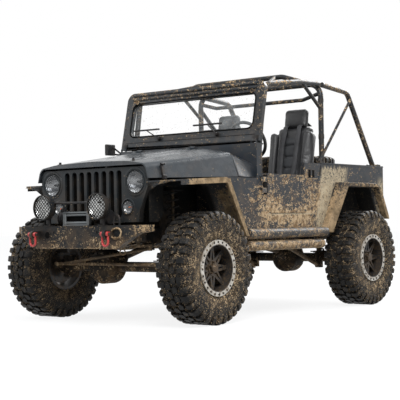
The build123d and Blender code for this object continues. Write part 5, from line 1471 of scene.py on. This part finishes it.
@dataclass
class Seats:
    """Two high-backed bucket seats, whose covers are blown up by one cloth simulation."""

    x: float = 0.400
    lean: float = -atan2(0.115, 0.62)
    shoulder: tuple[Point, ...] = ((0.075, 0.905, 1.700), (0.075, 0.815, 1.742), (0.077, 0.722, 1.690),
                                   (0.080, 0.655, 1.500), (0.078, 0.612, 1.300), (0.060, 0.560, 1.130),
                                   (0.030, 0.470, 1.082))
    lap: tuple[Point, ...] = ((0.245, 0.590, 0.985), (0.236, 0.540, 1.085), (0.190, 0.500, 1.112),
                              (0.100, 0.470, 1.088), (0.030, 0.455, 1.082))
    voxel: float = 0.009
    cap: float = 0.022
    frames: int = 16
    pressure: float = 2.5

    def pad(self, mesh: bmesh.types.BMesh, middle: Point, size: Point, tilt: float, round_off: float) -> None:
        """Add one rounded closed block, turned about X."""
        half = [v / 2 for v in size]
        place = Matrix.Translation(middle) @ Matrix.Rotation(tilt, 4, "X")
        part = bmesh.new()
        block(part, tuple(-v for v in half), tuple(half))
        chamfer(part, part.edges, round_off, 3)
        bmesh.ops.transform(part, matrix=place, verts=part.verts)
        absorb(mesh, part)

    def inflate(self, source: bmesh.types.BMesh, name: str) -> bpy.types.Mesh:
        """Fuse pads into one skin and blow it up.

        Args:
            source: Closed pads that overlap where they meet.
            name: Name of the new mesh.

        Returns:
            The finished skin.
        """
        data = bpy.data.meshes.new(name)
        source.to_mesh(data)
        source.free()
        piece = shown(name, data)
        remesh = piece.modifiers.new("remesh", "REMESH")
        remesh.mode = "VOXEL"
        remesh.voxel_size = self.voxel
        start = self.baked(piece)
        piece.modifiers.clear()
        piece.data = start
        rest = [v.co.copy() for v in start.vertices]
        cloth = piece.modifiers.new("cloth", "CLOTH")
        cloth.settings.use_pressure = True
        cloth.settings.uniform_pressure_force = self.pressure
        cloth.settings.quality = 4
        cloth.settings.effector_weights.gravity = 0.0
        cloth.point_cache.frame_end = self.frames
        for number in range(1, self.frames + 1):
            bpy.context.scene.frame_set(number)
        start = self.baked(piece)
        piece.modifiers.clear()
        bpy.context.scene.frame_set(1)
        for vert, home in zip(start.vertices, rest):
            move = vert.co - home
            if move.length > self.cap:
                vert.co = home + move.normalized() * self.cap
        bpy.data.objects.remove(piece)
        return start

    def baked(self, piece: bpy.types.Object) -> bpy.types.Mesh:
        """The piece's mesh with its modifiers applied."""
        graph = bpy.context.evaluated_depsgraph_get()
        return bpy.data.meshes.new_from_object(piece.evaluated_get(graph))

    def covers(self) -> dict[str, tuple[bpy.types.Mesh, Finish]]:
        """Skins of one seat about x = 0, by part name, with their finish."""
        shell = bmesh.new()
        self.pad(shell, (0, 0.728, 1.350), (0.380, 0.085, 0.700), self.lean, 0.040)
        for wing in (-1, 1):
            self.pad(shell, (wing * 0.186, 0.690, 1.340), (0.082, 0.150, 0.600), self.lean, 0.040)
        base = bmesh.new()
        self.pad(base, (0, 0.355, 1.000), (0.400, 0.470, 0.075), 0.04, 0.030)
        for wing in (-1, 1):
            self.pad(base, (wing * 0.186, 0.365, 1.030), (0.082, 0.470, 0.110), 0.04, 0.040)
        rest = bmesh.new()
        self.pad(rest, (0, 0.795, 1.765), (0.250, 0.072, 0.185), self.lean * 0.8, 0.034)
        middle = bmesh.new()
        for k in range(5):
            along = -0.220 + 0.112 * k
            place = (0, 0.688 - along * sin(self.lean), 1.340 + along * cos(self.lean))
            self.pad(middle, place, (0.255, 0.042, 0.104), self.lean, 0.019)
        for k in range(5):
            self.pad(middle, (0, 0.190 + 0.080 * k, 1.040 + 0.003 * k), (0.275, 0.062, 0.036), 0.04, 0.016)
        return {
            "back": (self.inflate(shell, "seat_back"), Finish.SEAT),
            "base": (self.inflate(base, "seat_base"), Finish.SEAT),
            "headrest": (self.inflate(rest, "seat_headrest"), Finish.SEAT),
            "middle": (self.inflate(middle, "seat_middle"), Finish.CLOTH),
        }

    def harness(self, x: float) -> bmesh.types.BMesh:
        """Shoulder and lap straps lying on one seat, with their buckles."""
        mesh = bmesh.new()
        for side in (-1, 1):
            for route, half in ((self.shoulder, (0.024, 0, 0)), (self.lap, (0, 0.024, 0))):
                self.band(mesh, [(side * a, b, c) for a, b, c in route], half)
        block(mesh, (-0.034, 0.425, 1.076), (0.034, 0.492, 1.096), 0.004)
        bmesh.ops.translate(mesh, verts=mesh.verts, vec=(x, 0, 0))
        return mesh

    def band(self, mesh: bmesh.types.BMesh, route: Sequence[Point], half: Point) -> None:
        """A flat strap along a route, its half width given as a vector."""
        side = Vector(half)
        last = [mesh.verts.new(Vector(route[0]) - side), mesh.verts.new(Vector(route[0]) + side)]
        edge = mesh.edges.new(last)
        for here, there in zip(route, route[1:]):
            made = bmesh.ops.extrude_edge_only(mesh, edges=[edge])["geom"]
            moved = [g for g in made if isinstance(g, bmesh.types.BMVert)]
            bmesh.ops.translate(mesh, verts=moved, vec=Vector(there) - Vector(here))
            edge = next(g for g in made if isinstance(g, bmesh.types.BMEdge))

    def build(self) -> None:
        """Both seats, their risers, posts and harnesses."""
        skins = self.covers()
        for side in (1, -1):
            tag = side_name(side)
            x = side * self.x
            for part, (skin, finish) in skins.items():
                mesh = bmesh.new()
                mesh.from_mesh(skin)
                nodes = ["seats"] if side > 0 and part == "back" else ()
                piece = publish(f"seat_{part}_{tag}", mesh, finish, "root", nodes, 180.0,
                                Matrix.Translation((x, 0, 0)))
                divide = piece.modifiers.new("divide", "SUBSURF")
                divide.levels = divide.render_levels = 1
            hard = bmesh.new()
            block(hard, (x - 0.17, 0.185, CABIN_FLOOR), (x + 0.17, 0.595, 0.950), 0.008)
            for post in (-0.05, 0.05):
                rod(hard, (x + post, 0.795, 1.68), (x + post, 0.806, 1.76), 0.007, 12)
            publish("seat_frame_" + tag, hard, Finish.PLAIN, "root")
            straps = publish("harness_" + tag, self.harness(x), Finish.BELT, "root",
                             smooth=180.0)
            thick = straps.modifiers.new("thickness", "SOLIDIFY")
            thick.thickness = 0.0022


@dataclass
class Cabin:
    """Dials, levers, pedals, mirror and grab bar."""

    pod_y: float = -0.1855
    dials: tuple[Point, ...] = ((0.385, 1.545, 0.048), (0.285, 1.530, 0.036), (0.205, 1.530, 0.030),
                                (0.285, 1.445, 0.030), (0.205, 1.445, 0.030))
    marks: int = 12

    def dial(self, faces: bmesh.types.BMesh, marks: bmesh.types.BMesh, x: float, z: float, r: float) -> None:
        """One gauge: its face, plain marks round it and a needle."""
        y = self.pod_y
        rod(faces, (x, y - 0.006, z), (x, y + 0.004, z), r, 28)
        for k in range(self.marks):
            a = radians(-40 + 260 * k / (self.marks - 1))
            inner, outer = ((x + reach * cos(a), y + 0.0045, z + reach * sin(a))
                            for reach in (r * 0.72, r * 0.86))
            rod(marks, inner, outer, 0.0012, 4)
        rod(marks, (x, y + 0.0055, z), (x - r * 0.45, y + 0.0055, z + r * 0.40), 0.0014, 4)

    def build(self) -> None:
        """Everything in front of the seats."""
        faces, marks = bmesh.new(), bmesh.new()
        for x, z, r in self.dials:
            self.dial(faces, marks, x, z, r)
        publish("dial_faces", faces, Finish.DIAL, "root")
        publish("dial_marks", marks, Finish.PRINT, "root")
        gear = bmesh.new()
        rod(gear, (0.02, 0.02, CABIN_FLOOR), (0.03, 0.10, 1.150), 0.008, 14)
        rod(gear, (-0.07, 0.06, CABIN_FLOOR), (-0.075, 0.12, 1.020), 0.007, 14)
        for x, y, z, r in ((0.031, 0.104, 1.165, 0.026), (-0.076, 0.123, 1.035, 0.021)):
            place = Matrix.Translation((x, y, z))
            bmesh.ops.create_uvsphere(gear, u_segments=20, v_segments=12, radius=r, matrix=place)
        rod(gear, (0.02, 0.02, 0.811), (0.021, 0.03, 0.860), 0.055, 20, 0.016)
        rod(gear, (-0.07, 0.06, 0.811), (-0.071, 0.065, 0.850), 0.040, 20, 0.013)
        for x in (0.290, 0.385, 0.480):
            rod(gear, (x, -0.372, 1.16), (x, -0.285, 0.930), 0.007, 12)
            block(gear, (x - 0.032, -0.292, 0.895), (x + 0.032, -0.278, 0.955), 0.004)
        for x in (-0.60, -0.20):
            rod(gear, (x, -0.250, 1.350), (x, -0.205, 1.350), 0.009, 12)
        rod(gear, (-0.60, -0.205, 1.350), (-0.20, -0.205, 1.350), 0.012, 16)
        publish("levers_and_pedals", gear, Finish.PLAIN, "root")
        glass = bmesh.new()
        block(glass, (-0.095, -0.278, 1.925), (0.095, -0.258, 1.975), 0.008)
        rod(glass, (0, -0.268, 1.97), (0, -0.285, 1.985), 0.008, 12)
        publish("inner_mirror", glass, Finish.PLAIN, "windscreen")


@dataclass
class SpareWheel:
    """Spare tyre lying across the wheel houses, with its wheel and the bar that holds it down."""

    centre: Point = (0.0, 1.270, 1.2823)
    bar_half: float = 0.100
    bar_z: Flat = (1.466, 1.478)

    def build(self) -> None:
        """Tyre, wheel and bar."""
        place = Matrix.Translation(self.centre) @ Matrix.Rotation(-pi / 2, 4, "Y")
        publish("spare_tyre", MudTyre().mesh(), Finish.SPARE, "root", ["spare_wheel"],
                30.0, place)
        wheel = bmesh.new()
        donor = CORNERS[2]
        wheel.from_mesh(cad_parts["rim_" + donor.name].data)
        bmesh.ops.remove_doubles(wheel, verts=wheel.verts, dist=CAD_WELD)
        bmesh.ops.transform(wheel, matrix=donor.place().inverted(), verts=wheel.verts)
        publish("spare_rim", wheel, Finish.PLAIN, "root", (), 30.0, place)
        bar = bmesh.new()
        x, y, _ = self.centre
        low, high = self.bar_z
        block(bar, (x - self.bar_half, y - 0.020, low), (x + self.bar_half, y + 0.020, high), 0.003)
        rod(bar, (x, y, 0.811), (x, y, high + 0.020), 0.009, 16)
        rod(bar, (x, y, high), (x, y, high + 0.016), 0.022, 20, 0.018)
        for dx, dy in ((0.075, 0.0), (0.0, 0.075)):
            rod(bar, (x - dx, y - dy, high + 0.022), (x + dx, y + dy, high + 0.022), 0.008, 12)
        publish("spare_clamp", bar, Finish.BOLT, "root")


@dataclass
class Underside:
    """Brake lines and cover bolts on the axles."""

    diffs: tuple[Point, ...] = ((-0.200, -AXLE_Y, -1.0), (0.0, AXLE_Y, 1.0))
    cover_r: float = 0.118
    line: tuple[Flat, ...] = ((0.58, 0.050), (0.45, 0.049), (0.30, 0.049))
    bolts: int = 10

    def build(self) -> None:
        """Bolts round the covers and hard lines along the axle tubes."""
        mesh = bmesh.new()
        for x, y, way in self.diffs:
            face = y + way * 0.104
            for k in range(self.bolts):
                a = 2 * pi * k / self.bolts
                px, pz = x + self.cover_r * cos(a), AXLE_Z + self.cover_r * sin(a)
                rod(mesh, (px, face - way * 0.03, pz), (px, face + way * 0.006, pz), 0.009, HEX)
        publish("cover_bolts", mesh, Finish.BOLT, "root")
        routes = []
        for y in (-AXLE_Y, AXLE_Y):
            for side in (-1, 1):
                routes.append([(side * x, y, AXLE_Z + rise) for x, rise in self.line])
        curve_piece("axle_lines", routes, 0.0045, Finish.BOLT, "root")


@dataclass
class Studio:
    """Camera at the photo's place, a pale floor and soft light."""

    eye: Point = (6.2275, -8.0732, 0.7987)
    yaw: float = radians(38.34)
    pitch: float = radians(1.17)
    roll: float = radians(-0.94)
    focal_px: float = 1115.58
    image_px: float = 400.0
    target: Point = (0.0, 0.0, 0.9)
    floor_half: float = 60.0
    floor_share: float = 0.86
    sky_steps: tuple[float, float, float, float] = (0.02, 0.85, 0.06, 1.45)
    lamps: tuple[tuple[str, Point, float, float], ...] = (
        ("key", (4.5, -4.5, 6.0), 3.5, 620.0),
        ("fill", (-6.0, -3.0, 4.0), 5.0, 110.0),
        ("back", (1.0, 8.0, 6.5), 6.0, 1150.0),
    )

    def camera(self) -> None:
        """Set the camera."""
        level = Vector((-sin(self.yaw), cos(self.yaw), 0.0))
        ahead = level * cos(self.pitch) + Vector((0, 0, sin(self.pitch)))
        right = Vector((cos(self.yaw), sin(self.yaw), 0.0))
        up = right.cross(ahead)
        tilted = right * cos(self.roll) + up * sin(self.roll)
        upright = up * cos(self.roll) - right * sin(self.roll)
        data = bpy.data.cameras.new("camera")
        data.sensor_width = 36.0
        data.lens = data.sensor_width * self.focal_px / self.image_px
        data.clip_end = 200.0
        camera = shown("camera", data)
        turn = Matrix((tilted, upright, -ahead)).transposed().to_4x4()
        camera.matrix_world = Matrix.Translation(self.eye) @ turn
        bpy.context.scene.camera = camera

    def seen(self, tree: bpy.types.NodeTree) -> Socket:
        """1 on rays that show the background: from the camera, off shiny surfaces and through glass."""
        path = tree.nodes.new("ShaderNodeLightPath")
        total = path.outputs["Is Camera Ray"]
        for ray in ("Is Glossy Ray", "Is Transmission Ray"):
            node = tree.nodes.new("ShaderNodeMath")
            node.operation = "MAXIMUM"
            tree.links.new(total, node.inputs[0])
            tree.links.new(path.outputs[ray], node.inputs[1])
            total = node.outputs[0]
        return total

    def floor(self) -> None:
        """Pale floor that keeps a soft shadow."""
        mesh = bmesh.new()
        bmesh.ops.create_grid(mesh, x_segments=1, y_segments=1, size=self.floor_half)
        data = bpy.data.meshes.new("floor")
        mesh.to_mesh(data)
        mesh.free()
        material = bpy.data.materials.new("pale_floor")
        material.use_nodes = True
        tree = material.node_tree
        surface = tree.nodes["Principled BSDF"]
        surface.inputs["Roughness"].default_value = 0.9
        seen = self.seen(tree)
        pale = tree.nodes.new("ShaderNodeMix")
        pale.data_type = "RGBA"
        pale.inputs[6].default_value = (0.32, 0.32, 0.31, 1.0)
        pale.inputs[7].default_value = (0.82, 0.82, 0.82, 1.0)
        tree.links.new(seen, pale.inputs[0])
        tree.links.new(pale.outputs[2], surface.inputs["Base Color"])
        glow = tree.nodes.new("ShaderNodeEmission")
        glow.inputs["Color"].default_value = (1.0, 1.0, 1.0, 1.0)
        glow.inputs["Strength"].default_value = 1.0
        blend = tree.nodes.new("ShaderNodeMixShader")
        share = tree.nodes.new("ShaderNodeMath")
        share.operation = "MULTIPLY"
        share.inputs[1].default_value = self.floor_share
        tree.links.new(seen, share.inputs[0])
        tree.links.new(share.outputs[0], blend.inputs[0])
        tree.links.new(surface.outputs[0], blend.inputs[1])
        tree.links.new(glow.outputs[0], blend.inputs[2])
        tree.links.new(blend.outputs[0], tree.nodes["Material Output"].inputs[0])
        data.materials.append(material)
        floor = shown("floor", data)

    def sky(self) -> None:
        """White where it is seen; as light, dim at the horizon and bright above."""
        world = bpy.data.worlds.new("studio")
        bpy.context.scene.world = world
        world.use_nodes = True
        tree = world.node_tree
        tree.nodes.clear()
        link = tree.links.new
        way = tree.nodes.new("ShaderNodeTexCoord")
        parts = tree.nodes.new("ShaderNodeSeparateXYZ")
        link(way.outputs["Generated"], parts.inputs[0])
        rise = tree.nodes.new("ShaderNodeMapRange")
        for socket, value in zip(rise.inputs[1:5], self.sky_steps):
            socket.default_value = value
        link(parts.outputs["Z"], rise.inputs[0])
        soft = tree.nodes.new("ShaderNodeBackground")
        soft.inputs["Color"].default_value = (0.92, 0.96, 1.0, 1.0)
        link(rise.outputs[0], soft.inputs["Strength"])
        white = tree.nodes.new("ShaderNodeBackground")
        white.inputs["Color"].default_value = (1.0, 1.0, 1.0, 1.0)
        blend = tree.nodes.new("ShaderNodeMixShader")
        out = tree.nodes.new("ShaderNodeOutputWorld")
        link(self.seen(tree), blend.inputs[0])
        link(soft.outputs[0], blend.inputs[1])
        link(white.outputs[0], blend.inputs[2])
        link(blend.outputs[0], out.inputs[0])

    def lamp(self, name: str, place: Point, size: float, power: float) -> None:
        """One soft area lamp aimed at the vehicle's middle."""
        data = bpy.data.lights.new(name, "AREA")
        data.size = size
        data.energy = power
        lamp = shown(name, data)
        lamp.location = place
        lamp.rotation_euler = (Vector(self.target) - Vector(place)).to_track_quat("-Z", "Y").to_euler()

    def build(self) -> None:
        """Camera, floor, world and lamps."""
        self.camera()
        self.floor()
        self.sky()
        for lamp in self.lamps:
            self.lamp(*lamp)
        bpy.context.scene.view_settings.view_transform = "Standard"


def dress_nodes() -> None:
    """Give every CAD node that is shown as it is its finish."""
    for finish, names in NODES_BY_FINISH.items():
        for name in names:
            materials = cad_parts[name].data.materials
            materials.clear()
            materials.append(finish.material())


def main() -> None:
    """Build the scene piece by piece."""
    logging.basicConfig(level=logging.INFO, format="%(name)s %(message)s")
    Studio().build()
    dress_nodes()
    parts = (SoftPanels(), MudTyre(), WheelTrim(), Brakes(), Lamps(), GrilleCore(), Winch(),
             BumperGear(), HoodGear(), DoorGear(), WindscreenGear(), CageGear(), Springs(), Seats(),
             Cabin(), SpareWheel(), Underside())
    for part in parts:
        part.build()
        log.info("%s done", type(part).__name__)


if __name__ == "__main__":
    main()
